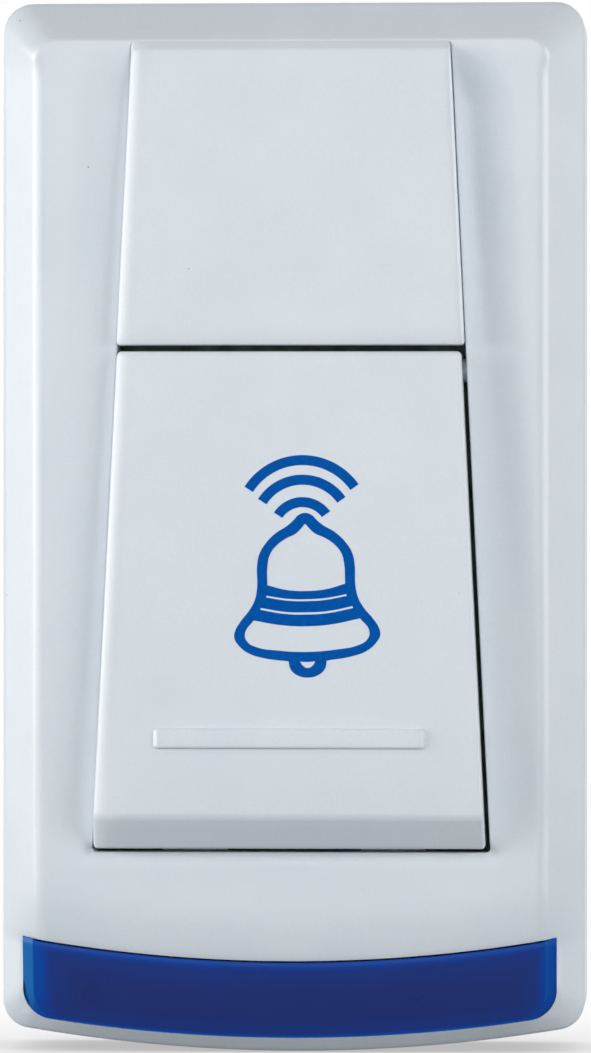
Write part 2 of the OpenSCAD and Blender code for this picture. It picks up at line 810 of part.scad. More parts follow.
// Plate that the battery's nub touches
module positive_contact() {
    contact_plate(1);
}

// Encoder in a flat package with bent leads
module encoder_chip() {
    chip_w = 3.9;
    chip_l = 8.7;
    chip_h = 1.5;
    leg_out = 1;
    leg_side = 0.4;
    leg_thick = 0.2;
    leg_step = 1.27;
    legs = 7;
    stand = 0.15;
    translate([-front_x, parts_y - chip_l / 2, board_z]) {
        color(black) translate([-chip_w / 2, -chip_l / 2, stand]) cube([chip_w, chip_l, chip_h]);
        color(metal) for (side = [0, 1], i = [0 : legs - 1]) mirror([side, 0, 0])
            translate([chip_w / 2, (i - (legs - 1) / 2) * leg_step - leg_side / 2, 0]) {
                cube([leg_out, leg_side, leg_thick]);
                translate([-leg_thick, 0, 0]) cube([2 * leg_thick, leg_side, stand + chip_h / 2]);
            }
    }
}

// Round metal can of the resonator
module saw_resonator() {
    can_h = 3.2;
    flange_r = can_r + can_flange;
    color(metal) translate([front_x, parts_y - flange_r, board_z]) {
        cylinder(can_h, can_r, can_r, $fn = 2 * round_fn);
        cylinder(2 * can_flange, flange_r, flange_r, $fn = 2 * round_fn);
    }
}

// Half-round transistor on three leads, behind the board
module rf_transistor() {
    body_r = 2.3;
    body_l = 3.6;
    flat = 1.3;
    lead = 0.4;
    lead_l = 0.8;
    lead_pitch = 1.27;
    translate([-back_x, parts_y, board_back_z]) {
        color(black) translate([0, 0, -lead_l - body_l]) difference() {
            cylinder(body_l, body_r, body_r, $fn = round_fn);
            translate([-body_r, -body_r - flat, -over]) cube([2 * body_r, body_r, body_l + 2 * over]);
        }
        color(metal) for (i = [-1 : 1]) translate([i * lead_pitch - lead / 2, -lead / 2, -lead_l - eps])
            cube([lead, lead, lead_l + eps]);
    }
}

// Wire antenna wound along the board's back, with both ends running to the board
module antenna_coil() {
    wire_r = 0.35;
    coil_r = 1.5;
    turns = 7.5;
    length = 16;
    drop = coil_r + 2 * wire_r;
    color("#b87333") translate([back_x, parts_y - length / 2, board_back_z - drop])
        rotate([-90, 0, 0]) coil(coil_r, coil_r, length, turns, wire_r, drop);
}

// Supply capacitor lying behind the board on its two leads
module electrolytic_capacitor() {
    can_r = 2;
    can_l = 6;
    lead_r = 0.25;
    lead_out = 1.25;
    lead_pitch = 2;
    drop = can_r + hook_gap;
    translate([-back_x, boss_low_y + 2 * boss_r, board_back_z - drop]) {
        color("#2b3a67") rotate([0, 90, 0]) cylinder(can_l, can_r, can_r, $fn = round_fn);
        color(metal) for (y = [-1, 1] * lead_pitch / 2) translate([-lead_out, y, 0]) {
            rotate([0, 90, 0]) cylinder(lead_out + eps, lead_r, lead_r, $fn = round_fn);
            cylinder(drop, lead_r, lead_r, $fn = round_fn);
        }
    }
}

// Row of disc capacitors standing on the board
module ceramic_capacitors() {
    disc_r = 1.8;
    disc_t = 1.4;
    lead_r = 0.25;
    row_pitch = 2.6;
    count = 3;
    for (i = [0 : count - 1])
        translate([front_x, rows_y - disc_t / 2 - i * row_pitch, board_z]) {
            color("#c98a3a") translate([0, disc_t / 2, disc_r + lead_r]) rotate([90, 0, 0])
                cylinder(disc_t, disc_r, disc_r, $fn = round_fn);
            color(metal) for (x = [-1, 1] * disc_r / 2) translate([x, 0, 0])
                cylinder(disc_r, lead_r, lead_r, $fn = round_fn);
        }
}

// Row of axial resistors on the board
module resistors() {
    rod_r = 0.85;
    rod_l = 3.4;
    rod_lift = 0.1;
    stem_r = 0.25;
    stem_out = 0.8;
    rod_step = 2.4;
    count = 3;
    for (i = [0 : count - 1])
        translate([-front_x, rows_y - rod_r - i * rod_step, board_z]) {
            color("#cdb38b") translate([-rod_l / 2, 0, rod_r + rod_lift]) rotate([0, 90, 0])
                cylinder(rod_l, rod_r, rod_r, $fn = round_fn);
            color(metal) for (side = [0, 1]) mirror([side, 0, 0]) {
                translate([rod_l / 2 - eps, 0, rod_r + rod_lift]) rotate([0, 90, 0])
                    cylinder(stem_out + stem_r, stem_r, stem_r, $fn = round_fn);
                translate([rod_l / 2 + stem_out, 0, 0])
                    cylinder(rod_r + rod_lift, stem_r, stem_r, $fn = round_fn);
            }
        }
}

// Lamps on the board behind the light strip's windows
module indicator_leds() {
    led_h = 1.9;
    rim = 0.4;
    at_leds() {
        color("#e9e7dc") slab(board_z, board_z + led_h) square(led_w - rim, center = true);
        color("#9fb8ff") slab(board_z + led_h - eps, board_z + led_h + rim)
            circle(led_w / 2 - rim, $fn = round_fn);
    }
}

upright() front_casing();
upright() back_cover();
upright() upper_panel();
upright() push_button();
upright() light_strip();
upright() circuit_board();
upright() board_screws();
upright() switch_base();
upright() switch_cover();
upright() switch_plunger();
upright() return_spring();
upright() battery();
upright() battery_spring();
upright() negative_contact();
upright() positive_contact();
upright() encoder_chip();
upright() saw_resonator();
upright() rf_transistor();
upright() antenna_coil();
upright() electrolytic_capacitor();
upright() ceramic_capacitors();
upright() resistors();
upright() indicator_leds();
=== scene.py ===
import math

import bmesh
import bpy
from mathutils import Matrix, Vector


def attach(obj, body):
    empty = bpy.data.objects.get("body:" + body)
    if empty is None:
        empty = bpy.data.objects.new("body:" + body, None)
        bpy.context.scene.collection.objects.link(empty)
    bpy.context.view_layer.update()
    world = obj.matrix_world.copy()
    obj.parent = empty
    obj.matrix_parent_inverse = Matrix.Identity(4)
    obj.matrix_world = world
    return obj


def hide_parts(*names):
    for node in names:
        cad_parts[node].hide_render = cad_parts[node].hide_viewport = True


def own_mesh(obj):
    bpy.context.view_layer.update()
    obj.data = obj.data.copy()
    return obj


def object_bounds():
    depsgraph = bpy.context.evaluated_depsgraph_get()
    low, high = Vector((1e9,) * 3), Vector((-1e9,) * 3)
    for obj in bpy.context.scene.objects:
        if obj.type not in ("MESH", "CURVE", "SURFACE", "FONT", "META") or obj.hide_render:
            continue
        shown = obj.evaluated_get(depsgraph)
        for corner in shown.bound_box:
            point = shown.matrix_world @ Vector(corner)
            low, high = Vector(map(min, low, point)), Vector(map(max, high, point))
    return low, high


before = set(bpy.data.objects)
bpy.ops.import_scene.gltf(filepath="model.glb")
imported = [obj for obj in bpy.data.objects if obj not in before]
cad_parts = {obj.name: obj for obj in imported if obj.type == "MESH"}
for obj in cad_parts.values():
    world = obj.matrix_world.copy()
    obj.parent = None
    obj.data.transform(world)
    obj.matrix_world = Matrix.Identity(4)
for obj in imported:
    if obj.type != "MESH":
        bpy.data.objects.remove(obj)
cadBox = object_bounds()
scene = bpy.context.scene
mm = 0.001
print("frame loaded,", len(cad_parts), "nodes")


# millimetres as the front is seen: across to the right, up the wall, out of the wall
def at(across, up, out):
    return Vector((across * mm, -out * mm, up * mm))


def mix(a, b, share):
    return a + (b - a) * share


def clamp(share):
    return min(1.0, max(0.0, share))


def ease(share):
    share = clamp(share)
    return share * share * (3.0 - 2.0 * share)


def drawOn(bm, edges):
    # extrudes a row of edges: gives the new vertices and the new edges between them
    grown = bmesh.ops.extrude_edge_only(bm, edges=edges)["geom"]
    fresh = {part for part in grown if isinstance(part, bmesh.types.BMVert)}
    return fresh, [part for part in grown if isinstance(part, bmesh.types.BMEdge) and fresh.issuperset(part.verts)]


def loft(bm, rings):
    # one closed loop of edges, drawn on from ring to ring and placed by each vertex's own number
    order = bm.verts.layers.int.new("order")
    bmesh.ops.create_circle(bm, cap_ends=False, segments=len(rings[0]), radius=mm)
    bm.verts.ensure_lookup_table()
    for number, vert in enumerate(bm.verts):
        vert[order] = number
        vert.co = rings[0][number]
    edges = list(bm.edges)
    for ring in rings[1:]:
        fresh, edges = drawOn(bm, edges)
        for vert in fresh:
            vert.co = ring[vert[order]]
    return edges


def closeEnds(bm, lastEdges):
    bmesh.ops.contextual_create(bm, geom=lastEdges)
    bmesh.ops.contextual_create(bm, geom=[edge for edge in bm.edges if edge.is_boundary])


def block(bm, low, high):
    # a box between two corners, given in millimetres as across, up, out
    made = bmesh.ops.create_cube(bm, size=1.0)["verts"]
    for vert in made:
        corner = [high[k] if vert.co[k] > 0 else low[k] for k in range(3)]
        vert.co = at(*corner)
    return made


def rod(bm, length, radius, tip, segments, spot):
    # spot places each point of an upright rod
    made = bmesh.ops.create_cone(
        bm, cap_ends=True, segments=segments, radius1=radius * mm, radius2=tip * mm, depth=length * mm)["verts"]
    for vert in made:
        vert.co = spot(*(vert.co / mm))
    return made


def post(bm, across, up, low, high, radius, tip=None, segments=48):
    # a round post that stands out of the wall
    spot = lambda x, y, z: at(across + x, up + y, (low + high) / 2 + z)
    return rod(bm, high - low, radius, tip or radius, segments, spot)


def edgesOf(verts):
    return {edge for vert in verts for edge in vert.link_edges}


def lyingAt(parts, out):
    # the faces or edges that lie this far out of the wall
    return [part for part in parts if all(abs(vert.co.y + out * mm) < 1e-7 for vert in part.verts)]


def roundOff(bm, edges, radius):
    bmesh.ops.bevel(bm, geom=edges, offset=radius * mm, affect="EDGES", segments=6, profile=0.5, material=-1)


def soften(mesh, angle):
    mesh.polygons.foreach_set("use_smooth", [True] * len(mesh.polygons))
    mesh.set_sharp_from_angle(angle=math.radians(angle))


def asObject(bm, name, smooth=35.0, turnOut=True):
    if turnOut:
        bmesh.ops.recalc_face_normals(bm, faces=bm.faces)
    mesh = bpy.data.meshes.new(name)
    bm.to_mesh(mesh)
    bm.free()
    obj = bpy.data.objects.new(name, mesh)
    scene.collection.objects.link(obj)
    soften(mesh, smooth)
    return obj


def settle(obj, smooth):
    # the modifiers become the mesh
    seen = bpy.context.evaluated_depsgraph_get()
    mesh = bpy.data.meshes.new_from_object(obj.evaluated_get(seen))
    old = obj.data
    obj.modifiers.clear()
    obj.data = mesh
    bpy.data.meshes.remove(old)
    soften(mesh, smooth)


def cutAway(obj, cutter, smooth):
    cut = obj.modifiers.new("cut", "BOOLEAN")
    cut.operation = "DIFFERENCE"
    cut.solver = "EXACT"
    cut.object = cutter
    settle(obj, smooth)
    mesh = cutter.data
    bpy.data.objects.remove(cutter)
    bpy.data.meshes.remove(mesh)


def finishPiece(obj, body, finish, node=None):
    obj.data.materials.clear()
    obj.data.materials.append(finish)
    if node:
        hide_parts(node)
    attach(obj, body)


def whitePiece(obj, body, node=None):
    finishPiece(obj, body, white, node)


def addNode(owner, kind):
    # owner is a node tree, or a node or socket in one
    return owner.id_data.nodes.new("ShaderNode" + kind)


def join(outlet, inlet):
    outlet.id_data.links.new(outlet, inlet)


def newFinish(name):
    finish = bpy.data.materials.new(name)
    finish.use_nodes = True
    finish.node_tree.nodes.clear()
    shader = addNode(finish.node_tree, "BsdfPrincipled")
    join(shader.outputs[0], addNode(shader, "OutputMaterial").inputs[0])
    return finish, shader


def place(shader):
    return addNode(shader, "TexCoord").outputs["Object"]


def speckle(where, size, detail=2.0):
    # soft noise, its size in millimetres
    noise = addNode(where, "TexNoise")
    noise.inputs["Scale"].default_value = 1.0 / (size * mm)
    noise.inputs["Detail"].default_value = detail
    join(where, noise.inputs["Vector"])
    return noise.outputs["Fac"]


def ramp(value, tones, spots=(0.3, 0.7)):
    # tones are greys or colours
    node = addNode(value, "ValToRGB")
    while len(node.color_ramp.elements) < len(spots):
        node.color_ramp.elements.new(0.5)
    for element, spot, tone in zip(node.color_ramp.elements, spots, tones):
        element.position = spot
        element.color = (*tone, 1.0) if isinstance(tone, tuple) else (tone, tone, tone, 1.0)
    join(value, node.inputs["Fac"])
    return node.outputs["Color"]


def feed(inlet, value):
    if isinstance(value, tuple):
        inlet.default_value = (*value, 1.0)
    elif isinstance(value, (int, float)):
        inlet.default_value = value
    else:
        join(value, inlet)


def sums(operation, first, second):
    node = addNode(first, "Math")
    node.operation = operation
    feed(node.inputs[0], first)
    feed(node.inputs[1], second)
    return node.outputs[0]


def tint(share, first, second, way="MIX"):
    node = addNode(first, "Mix")
    node.data_type = "RGBA"
    node.blend_type = way
    for number, value in ((0, share), (6, first), (7, second)):  # the colour sockets are 6 and 7
        feed(node.inputs[number], value)
    return node.outputs[2]


def dress(shader, colour, roughness, height, depth):
    # the relief has a real depth in millimetres
    feed(shader.inputs["Base Color"], colour)
    feed(shader.inputs["Roughness"], roughness)
    node = addNode(shader, "Bump")
    node.inputs["Distance"].default_value = depth * mm
    node.inputs["Strength"].default_value = 1.0
    join(height, node.inputs["Height"])
    join(node.outputs[0], shader.inputs["Normal"])


whitePlastic = {
    "colour": (0.69, 0.74, 0.79), "shade": (0.655, 0.708, 0.762), "patch": 9.0, "patchAt": (0.35, 0.65),
    "grain": 0.16, "grainShade": (0.965, 1.0), "grainDepth": 0.0035, "roughness": (0.28, 0.36),
    "speck": (0.3, 0.31, 0.33), "speckEvery": 5.0, "speckSize": 0.018, "speckCore": 0.6,
}


def makeWhite(look):
    finish, shader = newFinish("white_plastic")
    where = place(shader)
    patches = speckle(where, look["patch"], 3.0)
    grain = speckle(where, look["grain"], 1.0)
    tone = ramp(patches, (look["shade"], look["colour"]), look["patchAt"])
    tone = tint(1.0, tone, ramp(grain, look["grainShade"]), "MULTIPLY")
    cells = addNode(shader, "TexVoronoi")  # a dust speck here and there
    cells.inputs["Scale"].default_value = 1.0 / (look["speckEvery"] * mm)
    join(where, cells.inputs["Vector"])
    size = look["speckSize"]
    speck = ramp(cells.outputs["Distance"], (1.0, 0.0), (size * look["speckCore"], size))
    tone = tint(speck, tone, look["speck"])
    rough = ramp(patches, look["roughness"])
    dress(shader, tone, rough, grain, look["grainDepth"])
    return finish


bluePrint = {
    "colour": (0.0008, 0.086, 0.385), "thin": (0.0016, 0.1, 0.42), "roughness": 0.5, "gloss": 0.02,
    "grain": 0.35, "grainAt": (0.35, 0.6), "grainDepth": 0.004,
}


def makePrint(look):
    finish, shader = newFinish("blue_print")
    cover = speckle(place(shader), look["grain"], 3.0)
    tone = ramp(cover, (look["thin"], look["colour"]), look["grainAt"])
    shader.inputs["Specular IOR Level"].default_value = look["gloss"]
    dress(shader, tone, look["roughness"], cover, look["grainDepth"])
    return finish


blueLens = {
    # band and rim are painted light: lighter blues laid along the strip's edges by the rim attribute
    "deep": (0.0165, 0.0345, 0.19), "band": (0.003, 0.06, 0.375), "rim": (0.006, 0.13, 0.4),
    "cloud": 4.0, "cloudShade": (0.93, 1.0), "roughness": (0.26, 0.36), "gloss": 0.1,
    "grain": 0.3, "grainDepth": 0.002,
}


def makeLens(look):
    finish, shader = newFinish("blue_lens")
    where = place(shader)
    rim = addNode(shader, "Attribute")
    rim.attribute_name = "rim"
    cloud = speckle(where, look["cloud"], 3.0)
    # painted light: the rim attribute makes the strip lighter towards its edges
    tone = ramp(rim.outputs["Fac"], (look["deep"], look["band"], look["rim"]), (0.0, 0.5, 1.0))
    tone = tint(1.0, tone, ramp(cloud, look["cloudShade"]), "MULTIPLY")
    rough = ramp(cloud, look["roughness"])
    shader.inputs["Specular IOR Level"].default_value = look["gloss"]
    grain = speckle(where, look["grain"], 1.0)
    dress(shader, tone, rough, grain, look["grainDepth"])
    return finish


# colour, darker colour, metal, roughness, grain in millimetres, relief in millimetres
innerLooks = {
    "board_green": ((0.016, 0.15, 0.06), (0.006, 0.075, 0.03), 0.0, 0.38, 1.4, 0.02),
    "black_plastic": ((0.02, 0.02, 0.022), (0.01, 0.01, 0.012), 0.0, 0.48, 0.25, 0.006),
    "plunger_grey": ((0.06, 0.06, 0.065), (0.04, 0.04, 0.044), 0.0, 0.42, 0.25, 0.004),
    "plated_steel": ((0.6, 0.6, 0.59), (0.46, 0.455, 0.44), 1.0, 0.28, 0.6, 0.003),
    "spring_steel": ((0.42, 0.42, 0.43), (0.3, 0.3, 0.31), 1.0, 0.33, 0.4, 0.003),
    "battery_sleeve": ((0.45, 0.33, 0.07), (0.38, 0.27, 0.05), 0.0, 0.3, 2.0, 0.01),
    "copper_wire": ((0.56, 0.215, 0.09), (0.42, 0.14, 0.055), 1.0, 0.3, 0.5, 0.004),
    "capacitor_sleeve": ((0.02, 0.024, 0.06), (0.012, 0.014, 0.04), 0.0, 0.33, 1.0, 0.006),
    "ceramic_disc": ((0.56, 0.27, 0.08), (0.45, 0.2, 0.055), 0.0, 0.5, 0.4, 0.02),
    "resistor_tan": ((0.58, 0.42, 0.25), (0.48, 0.33, 0.18), 0.0, 0.42, 0.5, 0.01),
    "lamp_white": ((0.7, 0.72, 0.74), (0.6, 0.63, 0.66), 0.0, 0.22, 0.8, 0.004),
}
innerSpots = {"colourAt": (0.35, 0.65), "rough": (1.2, 0.85)}


def makeInner(name, look):
    light, dark, metal, rough, grain, depth = look
    finish, shader = newFinish(name)
    spots = speckle(place(shader), grain, 3.0)
    tone = ramp(spots, (dark, light), innerSpots["colourAt"])
    roughness = ramp(spots, [rough * share for share in innerSpots["rough"]])
    shader.inputs["Metallic"].default_value = metal
    dress(shader, tone, roughness, spots, depth)
    return finish


white = makeWhite(whitePlastic)
printed = makePrint(bluePrint)
lensBlue = makeLens(blueLens)
inner = {name: makeInner(name, look) for name, look in innerLooks.items()}
print("finishes made:", 3 + len(inner))


casing = {
    "half": 22.5, "high": 40.5, "arc": 124.0, "corner": 2.2, "faceCorner": 1.7, "face": 16.0, "smooth": 38.0,
    "bevelSide": 2.64, "bevelTop": 3.04, "bevelFoot": 12.8, "footRound": 0.3, "footSlope": 3.5,
    "crestRound": 0.18, "faceRound": 0.14, "topRound": 0.1,
    "crestDrop": 0.36, "crestWide": 1.1, "crestFrom": 15.5, "crestEase": 3.0,
    # power of the roll on the border, in the middle and at the sides, and where it changes
    "steep": (4.0, 1.0), "steepFrom": 17.0, "steepEase": 3.0,
    "cover": 2.0, "coverInset": 0.25, "backRound": 0.25, "wall": 1.9, "insideCorner": 1.0,
    "well": 11.8, "ledge": 13.2, "wellStep": (0.6, 1.2), "collar": (1.3, 0.9, 1.3, 0.6),
    "roof": (14.0, 12.9), "roofRings": 12, "bedFrom": 113.8, "bedEase": 1.6,
    # points along the outline, and rings
    "side": 180, "top": 48, "low": 72, "turn": 12, "faceRings": 46, "bevelRings": 16,
}
opening = {
    "top": 37.3, "split": 13.775, "low": -25.0, "topHalf": 12.3, "splitHalf": 13.42, "lowHalf": 15.32,
    "corner": 0.35, "rim": (0.09, 0.05, 0.09), "rimCorner": 0.05,
    # how far the rounded edge stands back at the sides and the top, and how deep it lies
    "edge": ((0.05, 0.03, 0.015), (0.02, 0.01, 0.05), (0.0, 0.0, 0.11)),
}
valley = {
    "head": (37.2, 32.4), "foot": (-26.0, -21.0), "from": 25.0, "long": 36.0,
    "under": 0.25, "underWide": 1.2, "underPower": 2.2,
    # values at the upper and at the lower end
    "left": {"lip": (1.0, 0.96), "deep": (0.52, 0.1), "bottom": (0.6, 0.9), "end": (4.4, 5.6)},
    "right": {"lip": (0.74, 0.7), "deep": (0.78, 0.23), "bottom": (1.0, 2.4), "end": (5.0, 5.2)},
}
lens = {
    # facet and slope have a left and a right value
    "across": -0.22, "half": 20.61, "facet": (19.76, 19.86), "slope": (0.85, 0.35), "facetSoft": 0.006,
    "low": 122.9, "top": 117.05, "corner": 2.0, "bed": 12.9, "bedWall": 1.2, "sunk": 0.03,
    "gap": 0.015, "topGap": 0.15, "endEase": 0.2, "fall": (0.15, 0.0157), "topEdge": (0.1, 0.45),
    "rollFrom": 112.8, "rollPast": 0.1, "roll": 0.03, "edgeFrom": 3.7, "edge": 0.35,
    "rimWide": 0.4, "rimDrop": 0.12, "rimFoot": (0.6, 0.3),
    "grid": (300, 44), "pocketGrid": (120, 8), "pocketOut": 20.0,
}
# painted light: strength and width of the lighter edges of the strip, with a painted highlight line on the right among
# them
lensPaintedLight = {
    "turn": 0.55, "leftEdge": 0.06, "leftBand": (0.55, 1.3), "leftFade": (0.2, 4.5),
    "rightFacet": (0.42, 0.66), "rightEdge": (0.08, 0.1), "rightLine": (0.85, 0.05, 0.1),
    "rightBand": (0.5, 1.1), "rightFade": (0.25, 2.9),
    "top": 0.5, "topFade": (0.14, 2.6), "low": (0.8, 0.3), "lowFade": (0.1, 1.6),
}
arcUp = casing["arc"] - casing["high"]  # height of the centre of the curved bottom edge


def fromArc(across, up):
    return math.hypot(across, arcUp - up)


def openingHalf(up):
    o = opening
    if up > o["split"]:
        return mix(o["splitHalf"], o["topHalf"], (up - o["split"]) / (o["top"] - o["split"]))
    return mix(o["lowHalf"], o["splitHalf"], (up - o["low"]) / (o["split"] - o["low"]))


def turned(centre, start, end, radius, steps=casing["turn"]):
    points = []
    for step in range(steps + 1):
        angle = math.radians(mix(start, end, step / steps))
        points.append((centre[0] + radius * math.cos(angle), centre[1] + radius * math.sin(angle)))
    return points


def along(first, last, share):
    return mix(first[0], last[0], share), mix(first[1], last[1], share)


def between(first, last, steps):
    return [along(first, last, k / steps) for k in range(1, steps)]


def corners(topX, topUp, lowX, lowUp, radius, lean=0.0):
    # upper right, upper left, lower left and lower right, from their centres
    upper = turned((topX, topUp), 0, 90, radius), turned((-topX, topUp), 90, 180, radius)
    return *upper, turned((-lowX, lowUp), 180, 270 - lean, radius), turned((lowX, lowUp), -90 + lean, 0, radius)


def shieldLine(side, top, low, corner):
    # casing outline, drawn in by these amounts, from the lower right corner round to the left
    half, high, arc = casing["half"] - side, casing["high"] - top, casing["arc"] - low
    lean = math.asin((half - corner) / (arc - corner))
    lowCentre = arcUp - (arc - corner) * math.cos(lean)
    x = half - corner
    right, left, lowLeft, lowRight = corners(x, high - corner, x, lowCentre, corner, math.degrees(lean))
    bottom = []
    for step in range(1, casing["low"]):
        angle = mix(-lean, lean, step / casing["low"])
        bottom.append((arc * math.sin(angle), arcUp - arc * math.cos(angle)))
    line = between(lowRight[-1], right[0], casing["side"]) + right + between(right[-1], left[0], casing["top"]) + left
    return line + between(left[-1], lowLeft[0], casing["side"]) + lowLeft + bottom + lowRight


def openingLine(grow, growTop, growLow, corner):
    # tapered opening with the same number of points on each side
    top, low = opening["top"] + growTop, opening["low"] - growLow
    topHalf, lowHalf = openingHalf(top) + grow, openingHalf(low) + grow
    right, left, lowLeft, lowRight = corners(topHalf - corner, top - corner, lowHalf - corner, low + corner, corner)
    rightSide = [(openingHalf(up) + grow, up) for across, up in between(lowRight[-1], right[0], casing["side"])]
    leftSide = [(-openingHalf(up) - grow, up) for across, up in between(left[-1], lowLeft[0], casing["side"])]
    line = rightSide + right + between(right[-1], left[0], casing["top"]) + left
    return line + leftSide + lowLeft + between(lowLeft[-1], lowRight[0], casing["low"]) + lowRight


def rollDrop(across, up):
    # the face rolls down to the light strip, with a soft edge at its end
    reach = max(0.0, min(fromArc(across, up), lens["top"] + lens["rollPast"]) - lens["rollFrom"])
    return lens["roll"] * reach ** 2 + lens["edge"] * max(0.0, reach - lens["edgeFrom"]) ** 2


def rimDrop(across, up):
    # soft edge of the pocket where the light strip runs out over the sloping border
    if fromArc(across, up) < lens["top"]:
        return 0.0
    slope, start = lens["rimFoot"]
    beside = abs(across - lens["across"]) - lens["half"] - lens["gap"]
    past = max(beside, slope * (fromArc(across, up) - lens["low"]) + start)
    return lens["rimDrop"] * clamp(1.0 - past / lens["rimWide"]) ** 2


def crestDrop(across, up):
    # the side crests lie lower than the face, which rolls down to them
    below = casing["high"] - casing["bevelTop"] - up
    beside = abs(across) - casing["crestFrom"]
    return casing["crestDrop"] * ease(below / casing["crestEase"]) * ease(beside / casing["crestEase"])


def crestRoll(across, up):
    share = 1.0 - (casing["half"] - abs(across) - casing["bevelSide"]) / casing["crestWide"]
    return crestDrop(across, up) * clamp(share) ** 2


def valleyDrop(across, up):
    # shallow channel beside the opening: a low lip, the bottom, then a gentle rise to the crest
    look = valley["right" if across > 0 else "left"]
    share = clamp((valley["from"] - up) / valley["long"])
    bottom, end, deep, lip = (mix(*look[key], share) for key in ("bottom", "end", "deep", "lip"))
    (headEnd, head), (footEnd, foot) = valley["head"], valley["foot"]
    ends = ease((headEnd - up) / (headEnd - head)) * ease((up - footEnd) / (foot - footEnd))
    past = abs(across) - openingHalf(up)
    if past < bottom:
        side = ends * deep * mix(lip, 1.0, ease(past / bottom))
    else:
        side = ends * deep * (1.0 - ease((past - bottom) / (end - bottom)))
    # below the opening it is narrow
    below = opening["low"] - up
    away = math.hypot(max(0.0, past), max(0.0, below))
    near = max(0.0, 1.0 - away / valley["underWide"])
    return math.hypot(side, valley["under"] * near ** valley["underPower"] * ease(below + 1.0))


def steep(across):
    # the border keeps its slope below the light strip
    return mix(*casing["steep"], ease((abs(across) - casing["steepFrom"]) / casing["steepEase"]))


def shieldRing(side, top, low, corner, out, bevel=0.0, crest=1.0):
    # bevel is the share of the border's slope, crest the share of the crest's drop
    ring = []
    for across, up in shieldLine(side, top, low, corner):
        lower = out - bevel ** steep(across) * rollDrop(across, up) - bevel * crest * crestDrop(across, up)
        ring.append(at(across, up, lower - (rimDrop(across, up) if bevel else 0.0)))
    return ring


def bend(first, middle, last, steps):
    # rounded edge through three points, without its two ends
    points = []
    for step in range(1, steps):
        t = step / steps
        weights = (1 - t) ** 2, 2 * t * (1 - t), t * t
        points.append(tuple(weights[0] * a + weights[1] * b + weights[2] * c for a, b, c in zip(first, middle, last)))
    return points


def makeCasing(look):
    # rings from the back edge over the border and the face into the opening, and back inside
    side, top, foot, face = look["bevelSide"], look["bevelTop"], look["bevelFoot"], look["face"]
    onWall = lambda inset, out: (inset, inset, inset, look["corner"], out, 0.0)
    onBevel = lambda t: (
        t * side, t * top, t * side, mix(look["corner"], look["faceCorner"], t), foot + t * (face - foot), t)
    insideEdge = (look["wall"],) * 3 + (look["insideCorner"],)
    cover = look["cover"]
    back = [onWall(look["coverInset"], cover), onWall(0.0, cover), onWall(0.0, cover + look["backRound"])]
    spots = [(*insideEdge, cover), back[0], *bend(*back, 4), back[2]]
    first, last = look["footRound"] / look["footSlope"], 1.0 - look["crestRound"] / side
    edge = [onWall(0.0, foot - look["footRound"]), onWall(0.0, foot), onBevel(first)]
    spots += [edge[0], *bend(*edge, 4)]
    spots += [onBevel(mix(first, last, k / look["bevelRings"])) for k in range(look["bevelRings"] + 1)]
    faceEdge = (side + look["faceRound"], top + look["topRound"], side + look["faceRound"], look["faceCorner"])
    crestShare = (1.0 - look["faceRound"] / look["crestWide"]) ** 2
    crest = [onBevel(last) + (1.0,), onBevel(1.0) + (1.0,), faceEdge + (face, 1.0, crestShare)]
    rings = [shieldRing(*spot) for spot in spots + bend(*crest, 6)]
    outer, rim = shieldLine(*faceEdge), openingLine(*opening["rim"], opening["corner"] + opening["rimCorner"])
    for k in range(look["faceRings"] + 1):
        ring = []
        for start, end in zip(outer, rim):
            x, y = along(start, end, k / look["faceRings"])
            ring.append(at(x, y, face - rollDrop(x, y) - valleyDrop(x, y) - crestRoll(x, y)))
        rings.append(ring)
    for grow, growTop, drop in opening["edge"]:
        line = openingLine(grow, growTop, grow, opening["corner"])
        rings.append([at(x, y, face - drop - valleyDrop(x, y)) for x, y in line])
    before, long = look["wellStep"]
    deep = lambda up: mix(look["well"], look["ledge"], ease((up - opening["split"] + before) / long))
    collar = openingLine(*look["collar"])
    for line in (openingLine(0.0, 0.0, 0.0, opening["corner"]), collar):
        rings.append([at(x, y, deep(y)) for x, y in line])
    inside, steps = shieldLine(*insideEdge), look["roofRings"]
    underBed = lens["bed"] - lens["bedWall"]
    for k in range(steps + 1):
        roof = mix(*look["roof"], k / steps)
        ring = []
        for start, end in zip(collar, inside):
            x, y = along(start, end, k / steps)
            ring.append(at(x, y, mix(roof, underBed, ease((fromArc(x, y) - look["bedFrom"]) / look["bedEase"]))))
        rings.append(ring)
    rings.append(rings[0])
    bm = bmesh.new()
    loft(bm, rings)
    bmesh.ops.remove_doubles(bm, verts=bm.verts, dist=1e-7)
    return asObject(bm, "casing_shell", look["smooth"])


def lensEdge(across, grow):
    # lower edge of the light strip, with its rounded corners
    radius, reach = lens["corner"], lens["half"] + grow
    edge = arcUp - math.sqrt((lens["low"] + grow) ** 2 - across ** 2)
    into = max(0.0, abs(across) - reach + radius)
    return edge + radius - math.sqrt(max(0.0, radius ** 2 - into ** 2))


def lensGrid(bm, grow, columns, rows, height):
    # the pocket leaves a gap above the strip, which the two ends of the strip fill
    bmesh.ops.create_grid(bm, x_segments=columns, y_segments=rows, size=1.0)
    for vert in bm.verts:
        across = (lens["half"] + grow) * math.sin(vert.co.x * math.pi / 2)
        growTop = lens["topGap"]
        if not grow:
            past = abs(across) - lens["facet"][across > 0]
            growTop = (lens["topGap"] - lens["gap"]) * ease(past / lens["endEase"] + 1.0)
        top = arcUp - math.sqrt((lens["top"] - growTop) ** 2 - across ** 2)
        up = mix(lensEdge(across, grow), top, (vert.co.y + 1) / 2)
        vert.co = at(lens["across"] + across, up, height(across, up))


def closeUnder(bm, out):
    # the open edge is drawn straight back and closed
    fresh, edges = drawOn(bm, [edge for edge in bm.edges if edge.is_boundary])
    for vert in fresh:
        vert.co.y = -out * mm
    bmesh.ops.contextual_create(bm, geom=edges)


